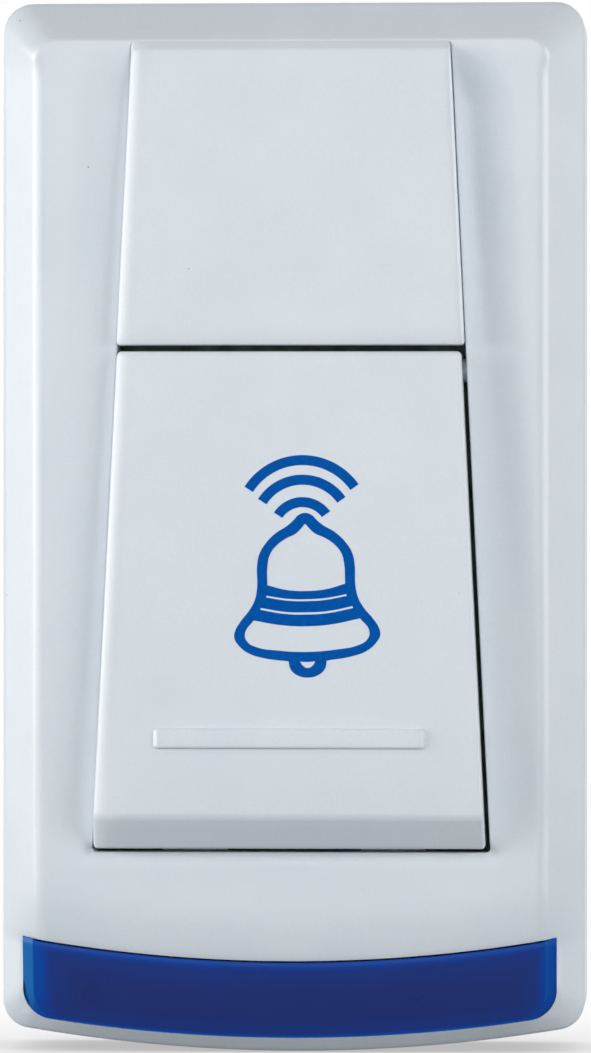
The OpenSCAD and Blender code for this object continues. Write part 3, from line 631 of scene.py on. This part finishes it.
def lensOut(across, up):
    down = fromArc(across, up) - lens["top"]
    start = casing["face"] - rollDrop(0.0, arcUp - lens["top"]) - lens["sunk"]
    out = start - lens["fall"][0] * down - lens["fall"][1] * down * abs(down)
    past = abs(across) - lens["facet"][across > 0]
    fall = lens["slope"][across > 0] * (past + math.sqrt(past * past + lens["facetSoft"])) / 2
    return out - fall - lens["topEdge"][0] * max(0.0, 1.0 - down / lens["topEdge"][1]) ** 2


def lensPaintedEdges(across, up):
    # painted light on the edges, how much lighter each one is painted: most on the left, then right, top and bottom
    glow, radius = lensPaintedLight, lens["corner"]
    ebb = lambda key, way: glow[key][0] * max(0.0, 1.0 - way / glow[key][1])
    low = max(0.0, up - arcUp + math.sqrt(lens["low"] ** 2 - across ** 2))
    corner = max(0.0, radius - low)
    edge = lens["half"] - abs(across) - radius + math.sqrt(radius ** 2 - corner ** 2)  # from the rounded end, level
    turn = mix(1.0, glow["turn"], ease(corner / radius))
    facet = lens["half"] - lens["facet"][across > 0]
    past = edge - facet
    if across < 0:
        strength, wide = glow["leftBand"]
        shares = [
            turn * (1.0 - ease(past / glow["leftEdge"])),
            strength * turn * ease(wide - past / wide),
            ebb("leftFade", edge),
        ]
    else:
        start, soft = glow["rightEdge"]
        line, spot, thin = glow["rightLine"]
        strength, wide = glow["rightBand"]
        shares = [
            mix(*glow["rightFacet"], max(0.0, edge) / facet) * turn * (1.0 - ease((past - start) / soft)),
            line * turn * max(0.0, 1.0 - abs(past - spot) / thin),
            strength * turn * ease(1.0 - past / wide),
            ebb("rightFade", edge),
        ]
    down = fromArc(across, up) - lens["top"]
    shares += [glow["top"] * ease(1.0 - down), ebb("topFade", down)]
    shares += [glow["low"][0] * ease(1.0 - low / glow["low"][1]), glow["lowFade"][0] * ease(glow["lowFade"][1] - low)]
    return max(shares)


def makeLensPiece():
    bm = bmesh.new()
    rim = bm.verts.layers.float.new("rim")
    lensGrid(bm, 0.0, *lens["grid"], lensOut)
    # each vertex keeps its share of painted edge light
    for vert in bm.verts:
        vert[rim] = lensPaintedEdges(vert.co.x / mm - lens["across"], vert.co.z / mm)
    closeUnder(bm, lens["bed"])
    return asObject(bm, "lens_strip", 40.0)


shell = makeCasing(casing)
cutterMesh = bmesh.new()
lensGrid(cutterMesh, lens["gap"], *lens["pocketGrid"], lambda across, up: lens["pocketOut"])
closeUnder(cutterMesh, lens["bed"])
cutAway(shell, asObject(cutterMesh, "pocket"), casing["smooth"])

hinge = {"up": 12.05, "out": 13.6, "pin": 0.9, "from": 12.4, "to": 14.7, "socket": 0.95, "socketTo": 16.0}


def crossPin(bm, first, last, radius):
    # round pin on the hinge line, from one place across to the other
    spot = lambda x, y, z: at((first + last) / 2 + z, hinge["up"] + x, hinge["out"] + y)
    rod(bm, last - first, radius, radius, 40, spot)


cutterMesh = bmesh.new()
crossPin(cutterMesh, -hinge["socketTo"], hinge["socketTo"], hinge["socket"])
cutAway(shell, asObject(cutterMesh, "sockets"), casing["smooth"])
whitePiece(shell, "casing", "front_casing")

inside = {
    "bosses": [(-17.5, -21.65), (17.5, -21.65), (-17.5, 6.75), (17.5, 6.75)],
    "boss": 2.2, "from": 9.0, "to": 13.9, "hole": 0.8, "holeDeep": 4.0,
    "ledge": (13.2, 14.15), "ledgeWide": 1.2, "ledgeLow": 14.1, "ledgePast": 0.2,
}


def makeInside(look):
    # screw bosses behind the face, and the ledge that the upper panel is clipped on to
    bm = bmesh.new()
    for across, up in look["bosses"]:
        made = post(bm, across, up, look["from"], look["to"], look["boss"])
        end = lyingAt({face for vert in made for face in vert.link_faces}, look["from"])
        wall = (look["boss"] - look["hole"]) * mm
        bmesh.ops.inset_individual(bm, faces=end, thickness=wall, use_even_offset=True)
        bmesh.ops.translate(bm, verts=end[0].verts, vec=(0, -look["holeDeep"] * mm, 0))
    back, front = look["ledge"]
    spots = []
    for side, up in ((1, look["ledgeLow"]), (1, opening["top"]), (-1, opening["top"]), (-1, look["ledgeLow"])):
        spots.append(bm.verts.new(at(side * (openingHalf(up) + look["ledgePast"]), up, back)))
    whole = bm.faces.new(spots)
    inset = bmesh.ops.inset_individual(bm, faces=[whole], thickness=look["ledgeWide"] * mm, use_even_offset=True)
    bmesh.ops.delete(bm, geom=[whole], context="FACES_ONLY")
    grown = bmesh.ops.extrude_face_region(bm, geom=inset["faces"], use_keep_orig=True)["geom"]
    fresh = [part for part in grown if isinstance(part, bmesh.types.BMVert)]
    bmesh.ops.translate(bm, verts=fresh, vec=(0, (back - front) * mm, 0))
    return asObject(bm, "casing_bosses")


whitePiece(makeInside(inside), "casing")
strip = makeLensPiece()
finishPiece(strip, "casing", lensBlue, "light_strip")
print("casing shell", len(shell.data.polygons), "faces, light strip", len(strip.data.polygons))


# the raised plane that the upper panel and the button share
tongue = {
    "plane": 16.6, "from": 37.3, "slope": 0.0321, "skin": 1.5, "edge": (0.08, 0.2), "over": (0.03, 0.05),
    "rightSteps": 8, "leftSteps": 24, "leftBunch": 1.4, "widest": 2.0, "lipRoom": 0.9, "smooth": 30.0,
}
# left and right are the width, depth and power of the rolled side
panel = {
    "top": 37.37, "plug": 37.25, "chamfer": 0.7, "low": 13.97, "rollAt": 14.75, "rollDrop": 0.13, "back": 14.2,
    "leftGap": 0.02, "rightGap": 0.05, "left": (1.9, 0.5, 2.6), "right": (0.8, 0.1, 2.2),
    "topRound": 0.14, "rollRound": 0.5, "lowRound": 0.16, "cornerRound": 0.3,
}
button = {
    "top": 13.5, "plug": 13.5, "chamfer": 0.0, "low": -24.7, "rollAt": -22.25, "lowOut": 16.9, "back": 12.5,
    "leftGap": 0.09, "rightGap": 0.33, "left": (1.9, 0.5, 2.6), "right": (0.25, 0.08, 2.2),
    "topRound": 0.32, "rollRound": 0.36, "lowRound": 0.25, "cornerRound": 0.35,
}


def planeOut(up):
    return tongue["plane"] + tongue["slope"] * (tongue["from"] - up)


def capColumn(look, lowOut, side, inward):
    # outline from the top round to the bottom, this far in from one side
    wide, deep, power = look[side]
    edge, edgeWide = tongue["edge"]
    sink = deep * max(0.0, 1.0 - inward / wide) ** power + edge * max(0.0, 1.0 - inward / edgeWide) ** 2
    radius = look["cornerRound"]
    turn = radius - math.sqrt(radius ** 2 - max(0.0, radius - inward) ** 2)
    plug, top, low = look["plug"] - turn, look["top"] - turn, look["low"] + turn
    start, rollAt = top - look["chamfer"], look["rollAt"]
    foot, least = (casing["face"] + over for over in tongue["over"])
    line = [(plug, look["back"])]
    if look["chamfer"]:
        line += [(plug, foot), (top, foot)]
    line += [(start, max(planeOut(start) - sink, least)), (rollAt, planeOut(rollAt) - sink)]
    line += [(low, lowOut - sink), (low, look["back"])]
    points = []
    for up, out in line:
        across = openingHalf(up) - look[side + "Gap"] - inward
        points.append(at(across if side == "right" else -across, up, out))
    return points


def makeCap(name, look, lowOut):
    # one outline drawn across in steps from right to left; the edges that run across are then rounded
    count, many = tongue["rightSteps"], tongue["leftSteps"]
    steps = [("right", look["right"][0] * k / count) for k in range(count + 1)]
    steps += [("left", look["left"][0] * (k / many) ** tongue["leftBunch"]) for k in range(many, -1, -1)]
    columns = [capColumn(look, lowOut, *step) for step in steps]
    bm = bmesh.new()
    weight = bm.edges.layers.float.new("bevel_weight_edge")
    line = [bm.verts.new(spot) for spot in columns[0]]
    edges = [bm.edges.new(pair) for pair in zip(line, line[1:] + line[:1])]
    front = len(line) - 4  # first corner of the front
    ends = [edges]
    for column in columns[1:]:
        fresh, grown = drawOn(bm, edges)
        following = []
        for vert in line:
            following.append(next(edge.other_vert(vert) for edge in vert.link_edges if edge.other_vert(vert) in fresh))
        for vert, spot in zip(following, column):
            vert.co = spot
        for spot, key in ((front, "topRound"), (front + 1, "rollRound"), (front + 2, "lowRound")):
            bm.edges.get((line[spot], following[spot]))[weight] = look[key] / tongue["widest"]
        line = following
        edges = [bm.edges.get(pair) for pair in zip(line, line[1:] + line[:1])]
    ends.append(edges)
    for loop in ends:
        bmesh.ops.contextual_create(bm, geom=loop)
    obj = asObject(bm, name, tongue["smooth"])
    rounding = obj.modifiers.new("rounding", "BEVEL")
    rounding.limit_method = "WEIGHT"
    rounding.width = tongue["widest"] * mm
    rounding.segments = 8
    rounding.profile = 0.5
    rounding.use_clamp_overlap = False
    settle(obj, tongue["smooth"])
    # hollow from behind, a skin's thickness inside the front
    skin, behind = tongue["skin"], look["back"] - 1.0
    bm = bmesh.new()
    for vert in block(bm, (-1.0, look["low"] + skin, behind), (1.0, look["plug"] - skin, behind + 1.0)):
        up = vert.co.z / mm
        vert.co.x *= openingHalf(up) - look["rightGap"] - skin
        if vert.co.y < -(behind + 0.5) * mm:
            lip = lowOut + tongue["lipRoom"] if up < look["rollAt"] else planeOut(up)
            vert.co.y = -(min(planeOut(up), lip) - skin) * mm
    cutAway(obj, asObject(bm, "hollow"), tongue["smooth"])
    return obj


panelPiece = makeCap("upper_panel_cap", panel, planeOut(panel["low"]) - panel["rollDrop"])
whitePiece(panelPiece, "casing", "upper_panel")
buttonPiece = makeCap("push_button_cap", button, button["lowOut"])
whitePiece(buttonPiece, "button", "push_button")

clips = {
    "ups": (15.9, 34.7), "wide": 2.0, "thick": 1.0, "reach": 0.6, "inset": 1.35,
    "from": 12.1, "hook": 0.95, "legFrom": 0.3, "into": 0.9,
}


def makeClips(look):
    # four clip legs behind the upper panel, hooked under the ledge
    bm = bmesh.new()
    for up in look["ups"]:
        for side in (-1, 1):
            low, high = up - look["wide"] / 2, up + look["wide"] / 2
            edge = openingHalf(high) - look["inset"]
            leg = sorted((side * edge, side * (edge - look["thick"])))
            foot = sorted((side * (edge - look["thick"]), side * (edge + look["reach"])))
            block(bm, (leg[0], low, look["from"] + look["legFrom"]), (leg[1], high, planeOut(up) - look["into"]))
            block(bm, (foot[0], low, look["from"]), (foot[1], high, look["from"] + look["hook"]))
    return asObject(bm, "panel_clips", 30.0)


whitePiece(makeClips(clips), "casing")

underside = {
    "pusherUp": 2.05, "pusher": 1.5, "pusherFrom": 14.05, "pusherRound": 1.1, "into": 0.9,
    "seatUp": -15.95, "seat": 2.8, "seatFrom": 16.4, "seatRound": 0.15,
    "guide": 1.85, "guideFrom": 14.4, "guideRound": 0.4, "guideInto": 0.1,
    "hooks": (-7.7, 7.7), "hookWide": 5.0, "hookFrom": 10.9, "hookThick": 0.8, "hookReach": 1.2,
    "legFrom": 0.3, "legBack": 0.03, "legInto": 0.6, "skirt": 1.4,
}


def makeUnderside(look):
    # behind the button: pressing post, spring seat with its guide, hinge pins and stop hooks
    bm = bmesh.new()
    inFront = lambda up: planeOut(up) - look["into"]
    posts = [
        ("pusher", look["pusherUp"], inFront(look["pusherUp"])),
        ("seat", look["seatUp"], inFront(look["seatUp"])),
        ("guide", look["seatUp"], look["seatFrom"] + look["guideInto"]),
    ]
    for name, up, high in posts:
        made = post(bm, 0.0, up, look[name + "From"], high, look[name])
        roundOff(bm, lyingAt(edgesOf(made), look[name + "From"]), look[name + "Round"])
    for first, last in ((hinge["from"], hinge["to"]), (-hinge["to"], -hinge["from"])):
        crossPin(bm, first, last, hinge["pin"])
    low, start = button["low"], look["hookFrom"]
    high = low + look["skirt"]
    for across in look["hooks"]:
        left, right = across - look["hookWide"] / 2, across + look["hookWide"] / 2
        legTop = button["back"] + look["legInto"]
        block(bm, (left, low + look["legBack"], start + look["legFrom"]), (right, high, legTop))
        block(bm, (left, low - look["hookReach"], start), (right, high, start + look["hookThick"]))
    return asObject(bm, "button_underside", 30.0)


whitePiece(makeUnderside(underside), "button")
print("panel and button made")

fingerBar = {
    "up": -16.19, "wide": 20.95, "high": 1.57, "corner": 0.3, "turn": 8, "long": 40, "short": 6,
    # inset at the ends, inset at the long sides and height of each ring, up to the flat top
    "rings": [
        (0.0, 0.0, -0.2), (0.0, 0.0, 0.0), (0.06, 0.0, 0.08), (0.13, 0.012, 0.16), (0.21, 0.035, 0.235),
        (0.3, 0.075, 0.295), (0.4, 0.13, 0.33), (0.5, 0.2, 0.345), (0.62, 0.28, 0.35),
    ],
}


def makeBar(look):
    # low flat bar with steep sides and rounded ends, moulded on the button
    rings = []
    for insetX, insetY, height in look["rings"]:
        corner = look["corner"] - insetY
        x, y = look["wide"] / 2 - insetX - corner, look["high"] / 2 - insetY - corner
        centres = (x, y), (-x, y), (-x, -y), (x, -y)
        turns = [turned(spot, 90 * k, 90 * k + 90, corner, look["turn"]) for k, spot in enumerate(centres)]
        line = []
        for k in range(4):
            steps = look["short"] if k % 2 else look["long"]
            line += turns[k] + between(turns[k][-1], turns[(k + 1) % 4][0], steps)
        ring = []
        for across, rise in line:
            up = look["up"] + rise
            ring.append(at(across, up, planeOut(up) + height))
        rings.append(ring)
    bm = bmesh.new()
    closeEnds(bm, loft(bm, rings))
    return asObject(bm, "finger_bar", 60.0)


whitePiece(makeBar(fingerBar), "button")

bell = {
    "axis": 1.29, "middle": -4.5, "turn": 1.2, "thick": 0.03, "proud": 0.3, "unit": 0.0771,
    # half outlines, in the print's own units from its axis and downwards from the middle; True is a sharp corner
    "outer": [
        (0, -72.6), (6.5, -70.6), (11.5, -65.5), (18, -60), (29.5, -53), (40.5, -42), (46.3, -32), (48.5, -21.5),
        (49, 1.5), (51.5, 13), (57, 23), (66, 34), (72, 44.5), (72.5, 50.5), (69, 57), (60, 65), (45, 70.5),
        (19, 74.5, True), (17, 82.6), (10, 88.8), (0, 91),
    ],
    "window": [
        (0, -61.8, True), (9.5, -52.2), (18.5, -48), (28, -41.5), (35, -33), (38, -22.5), (38.7, -1.5, True),
        (20, 3.5), (0, 5),
    ],
    "lineOne": [(0, 13.2), (20, 12.2), (39.8, 8.9, True), (40.0, 10.6, True), (20, 14.1), (0, 15.1)],
    "lineTwo": [(0, 26.2), (22, 25.2), (45.6, 20.9, True), (46.2, 22.8, True), (22, 27.3), (0, 28.4)],
    "skirt": [(0, 40), (25, 38.5), (53, 33.2, True), (62, 46.5), (59.5, 54.5), (50, 60), (30, 63.5), (0, 65.5)],
    "clapper": [(0, 75.5), (7.5, 75, True), (5, 79), (0, 81.5)],
    # waves: radius of the stroke's middle, half width, centre below the middle
    "waves": [(63.6, 52.7, -61.6), (47.5, 39.4, -58.2), (28.8, 23.8, -54.6)], "waveAcross": -2.8, "stroke": 10.0,
}


def printPoint(x, y):
    turn = math.radians(bell["turn"])
    across = bell["axis"] + bell["unit"] * (x * math.cos(turn) + y * math.sin(turn))
    up = bell["middle"] + bell["unit"] * (x * math.sin(turn) - y * math.cos(turn))
    return across, up


def bellMesh():
    # the bell's outlines as one flat filled curve, in millimetres
    curve = bpy.data.curves.new("bell_line", "CURVE")
    curve.dimensions = "2D"
    curve.fill_mode = "BOTH"
    curve.extrude = bell["thick"] / 2
    curve.resolution_u = 8
    for key in ("outer", "window", "lineOne", "lineTwo", "skirt", "clapper"):
        half = bell[key]
        whole = half + [(-x, y, *sharp) for x, y, *sharp in reversed(half) if x > 0]
        spline = curve.splines.new("BEZIER")
        spline.bezier_points.add(len(whole) - 1)
        spline.use_cyclic_u = True
        for point, (x, y, *sharp) in zip(spline.bezier_points, whole):
            point.co = (*printPoint(x, y), 0.0)
            point.handle_left_type = point.handle_right_type = "VECTOR" if sharp else "AUTO"
    holder = bpy.data.objects.new("bell_line", curve)
    scene.collection.objects.link(holder)
    seen = bpy.context.evaluated_depsgraph_get()
    bm = bmesh.new()
    bm.from_mesh(bpy.data.meshes.new_from_object(holder.evaluated_get(seen)))
    bpy.data.objects.remove(holder)
    bpy.data.curves.remove(curve)
    return bm


def makePrintPiece():
    bm = bellMesh()
    thick, half = bell["thick"], bell["stroke"] / 2
    for radius, halfWide, centre in bell["waves"]:
        reach = math.asin(halfWide / radius)
        ends = []
        for ray in (radius - half, radius + half):
            for rise in (-0.5, 0.5):
                end = (-ray * math.sin(reach), ray * math.cos(reach), rise * thick / bell["unit"])
                ends.append(bm.verts.new(end))
        section = bm.faces.new((ends[0], ends[1], ends[3], ends[2]))
        bmesh.ops.spin(
            bm, geom=[section, *section.edges, *section.verts], cent=(0, 0, 0), axis=(0, 0, 1),
            angle=-2 * reach, steps=28, use_duplicate=False)
        # the wave is still in the print's units, so it is thicker than what lies in place
        for vert in [vert for vert in bm.verts if abs(vert.co.z) > thick * 0.8]:
            across, up = printPoint(vert.co.x + bell["waveAcross"], centre - vert.co.y)
            vert.co = Vector((across, up, math.copysign(thick / 2, vert.co.z)))
    bmesh.ops.remove_doubles(bm, verts=bm.verts, dist=1e-5)
    for vert in bm.verts:
        across, up, rise = vert.co
        vert.co = at(across, up, planeOut(up) + rise + thick * bell["proud"])
    return asObject(bm, "bell_print", 30.0)


printPiece = makePrintPiece()
finishPiece(printPiece, "button", printed)
print("bell print", len(printPiece.data.polygons), "faces")

coil = {"up": -15.95, "from": 9.0, "to": 16.4, "radius": 2.3, "wire": 0.25, "turns": 6, "steps": 28, "keep": 0.88}


def makeCoil(look):
    # the wire's section, spun round and lifted
    bm = bmesh.new()
    made = bmesh.ops.create_circle(bm, cap_ends=True, segments=10, radius=look["wire"] * mm)["verts"]
    low = look["from"] + look["wire"]
    for vert in made:
        x, y, z = vert.co / mm
        vert.co = at(look["radius"] + x, look["up"], low + y)
    steps = look["turns"] * look["steps"]
    rise = (look["to"] - look["from"] - 2 * look["wire"]) / steps * mm
    bmesh.ops.spin(
        bm, geom=list(bm.faces) + list(bm.edges) + list(bm.verts), cent=at(0, look["up"], low), axis=(0, -1, 0),
        dvec=(0, -rise, 0), angle=look["turns"] * 2 * math.pi, steps=steps, use_duplicate=False)
    return asObject(bm, "button_spring", 50.0)


springPiece = makeCoil(coil)
finishPiece(springPiece, "casing", inner["spring_steel"], "return_spring")
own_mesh(springPiece)

plate = {
    "thick": 2.0, "inset": 0.25, "corner": 2.2, "round": 0.4, "roundRings": 8, "top": 0.12,
    "rimIn": 1.95, "rimWide": 1.2, "rimHigh": 2.2, "rimCorner": 1.1, "rimRound": 0.2,
    "holes": (-17.0, 17.0), "hole": 2.1, "sink": 0.6, "sinkDeep": 0.3,
    "pads": (-29.0, 29.0), "pad": (13.0, 4.5), "padDeep": 0.4, "padCorner": 1.0, "notch": (3.0, 1.2), "notchPast": 0.6,
}


def makePlate(look):
    # wall plate with rounded edges, the rim inside the casing, screw holes, pad recesses and a prying notch
    ring = lambda inset, out, corner: [at(x, y, out) for x, y in shieldLine(inset, inset, inset, corner)]
    start, soft, high, steps = look["inset"], look["round"], look["thick"], look["roundRings"]
    spots = []
    for k in range(steps + 1):
        turn = math.pi / 2 * k / steps
        spots.append((start + soft * (1 - math.sin(turn)), soft * (1 - math.cos(turn))))
    spots += [(start, high - look["top"]), (start + look["top"], high)]
    rings = [ring(*spot, look["corner"]) for spot in spots]
    rimIn, rimTop, rimEnd = look["rimIn"], high + look["rimHigh"], look["rimIn"] + look["rimWide"]
    rim = [(rimIn, high), (rimIn, rimTop - look["rimRound"]), (rimIn + look["rimRound"], rimTop)]
    rings += [ring(*spot, look["rimCorner"]) for spot in rim + [(rimEnd, rimTop), (rimEnd, high)]]
    bm = bmesh.new()
    closeEnds(bm, loft(bm, rings))
    obj = asObject(bm, "wall_plate", 30.0)
    bm = bmesh.new()
    hole, deep = look["hole"], look["sinkDeep"]
    for up in look["holes"]:
        post(bm, 0.0, up, -1.0, 3.0, hole, segments=64)
        post(bm, 0.0, up, -deep, deep, hole + look["sink"], hole, segments=64)
    wide, tall = look["pad"]
    for up in look["pads"]:
        made = block(bm, (-wide, up - tall, -1.0), (wide, up + tall, look["padDeep"]))
        posts = [edge for edge in edgesOf(made) if abs(edge.verts[0].co.y - edge.verts[1].co.y) > 1e-4]
        roundOff(bm, posts, look["padCorner"])
    (wide, tall), edge = look["notch"], -casing["high"]
    block(bm, (-wide, edge - 1.0, high / 2), (wide, edge + tall, high + look["notchPast"]))
    cutAway(obj, asObject(bm, "plate_cuts"), 30.0)
    return obj


whitePiece(makePlate(plate), "casing", "back_cover")
print("wall plate made")

# solids that stay as they are
kept = {
    "circuit_board": "board_green", "board_screws": "plated_steel", "switch_base": "black_plastic",
    "switch_cover": "plated_steel", "switch_plunger": "plunger_grey", "battery": "battery_sleeve",
    "battery_spring": "spring_steel", "negative_contact": "plated_steel", "positive_contact": "plated_steel",
    "encoder_chip": "black_plastic", "saw_resonator": "plated_steel", "rf_transistor": "black_plastic",
    "antenna_coil": "copper_wire", "electrolytic_capacitor": "capacitor_sleeve",
    "ceramic_capacitors": "ceramic_disc", "resistors": "resistor_tan", "indicator_leds": "lamp_white",
}
for name, finish in kept.items():
    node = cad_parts[name]
    node.data.materials.clear()
    node.data.materials.append(inner[finish])
print("kept parts coloured:", len(kept))

studio = {
    "floor": (0.222, 0.25, 0.268), "floorGlow": 0.97, "floorSize": 0.57, "floorBelow": 0.00005, "floorRough": 0.9,
    "dust": 40.0, "dustShade": 0.97, "shadow": (0.04, 0.5),
    "ambient": 0.02, "sky": (0.96, 0.98, 1.0), "sideTint": (1.0, 0.975, 0.945), "white": (1.0, 1.0, 1.0),
}
# azimuth, elevation, strength on a surface that faces it, size and distance in metres
lamps = {
    "side": (-80.0, 0.0, 0.7, 0.35, 0.6), "left": (-60.0, 10.0, 0.42, 0.35, 0.6),
    "front": (0.0, 4.0, 0.218, 0.35, 0.6), "right": (54.0, 7.0, 0.61, 0.36, 0.6),
    "edge": (98.0, 0.0, 0.12, 0.35, 0.6), "above": (0.0, 56.0, 0.11, 0.3, 0.6),
    "behind": (205.0, 22.0, 0.6, 0.45, 0.8),
}
view = {
    "azimuth": 3.2, "elevation": 0.2, "distance": 600.0, "lens": 266.0, "sensor": 36.0, "near": 0.01, "far": 50.0,
    "across": 0.245, "up": 0.04, "out": 14.0,
}


def ahead(azimuth, elevation):
    a, e = math.radians(azimuth), math.radians(elevation)
    return Vector((math.sin(a) * math.cos(e), -math.cos(a) * math.cos(e), math.sin(e)))


def lookFrom(obj, target, azimuth, elevation, distance):
    way = ahead(azimuth, elevation)
    obj.location = target + way * distance
    obj.rotation_euler = (-way).to_track_quat("-Z", "Y").to_euler()
    scene.collection.objects.link(obj)


for name, (azimuth, elevation, strength, size, distance) in lamps.items():
    lamp = bpy.data.lights.new(name + "_light", "AREA")
    lamp.shape = "DISK"
    lamp.size = size
    lamp.energy = strength * math.pi ** 2 * distance ** 2
    lamp.color = studio["sideTint"] if name == "side" else studio["white"]
    lookFrom(bpy.data.objects.new(name + "_light", lamp), Vector(), azimuth, elevation, distance)


def seenRays(owner):
    # what the camera sees straight, mirrored or through something clear
    rays = addNode(owner, "LightPath")
    seen = sums("MAXIMUM", rays.outputs["Is Camera Ray"], rays.outputs["Is Glossy Ray"])
    return sums("MAXIMUM", seen, rays.outputs["Is Transmission Ray"])


def bySight(share, lighting, seen, output):
    # one shader lights other things, the other is what the camera sees
    blend = addNode(share, "MixShader")
    for inlet, outlet in zip(blend.inputs, (share, lighting.outputs[0], seen.outputs[0])):
        join(outlet, inlet)
    join(blend.outputs[0], output.inputs[0])


def makeFloor(look):
    bm = bmesh.new()
    bmesh.ops.create_circle(bm, cap_ends=True, segments=96, radius=look["floorSize"])
    for vert in bm.verts:
        vert.co.z = cadBox[0][2] - look["floorBelow"]
    floor = asObject(bm, "floor", turnOut=False)
    finish, shader = newFinish("pale_floor")
    shader.inputs["Roughness"].default_value = look["floorRough"]
    dust = speckle(place(shader), look["dust"])
    tones = tuple(part * look["dustShade"] for part in look["floor"]), look["floor"]
    join(ramp(dust, tones), shader.inputs["Base Color"])
    glow = addNode(shader, "Emission")
    near = addNode(shader, "AmbientOcclusion")  # soft shadow round the foot of the object
    near.inputs["Distance"].default_value = look["shadow"][0]
    join(ramp(near.outputs["AO"], (look["shadow"][1], 1.0), (0.0, 1.0)), glow.inputs["Color"])
    share = sums("MULTIPLY", seenRays(shader), look["floorGlow"])
    bySight(share, shader, glow, shader.outputs[0].links[0].to_node)
    floor.data.materials.append(finish)
    return floor


floor = makeFloor(studio)

world = bpy.data.worlds.new("studio")
scene.world = world
world.use_nodes = True
tree = world.node_tree
tree.nodes.clear()
soft, plain = addNode(tree, "Background"), addNode(tree, "Background")
soft.inputs["Color"].default_value = (*studio["sky"], 1.0)
soft.inputs["Strength"].default_value = studio["ambient"]
plain.inputs["Color"].default_value = (*studio["white"], 1.0)
bySight(seenRays(tree), soft, plain, addNode(tree, "OutputWorld"))

lensData = bpy.data.cameras.new("camera")
lensData.sensor_fit = "VERTICAL"
lensData.sensor_height = lensData.sensor_width = view["sensor"]
lensData.lens = view["lens"]
lensData.clip_start, lensData.clip_end = view["near"], view["far"]
camera = bpy.data.objects.new("camera", lensData)
target = at(view["across"], view["up"], view["out"])
lookFrom(camera, target, view["azimuth"], view["elevation"], view["distance"] * mm)
scene.camera = camera
scene.view_settings.view_transform = "Standard"
print("studio set")
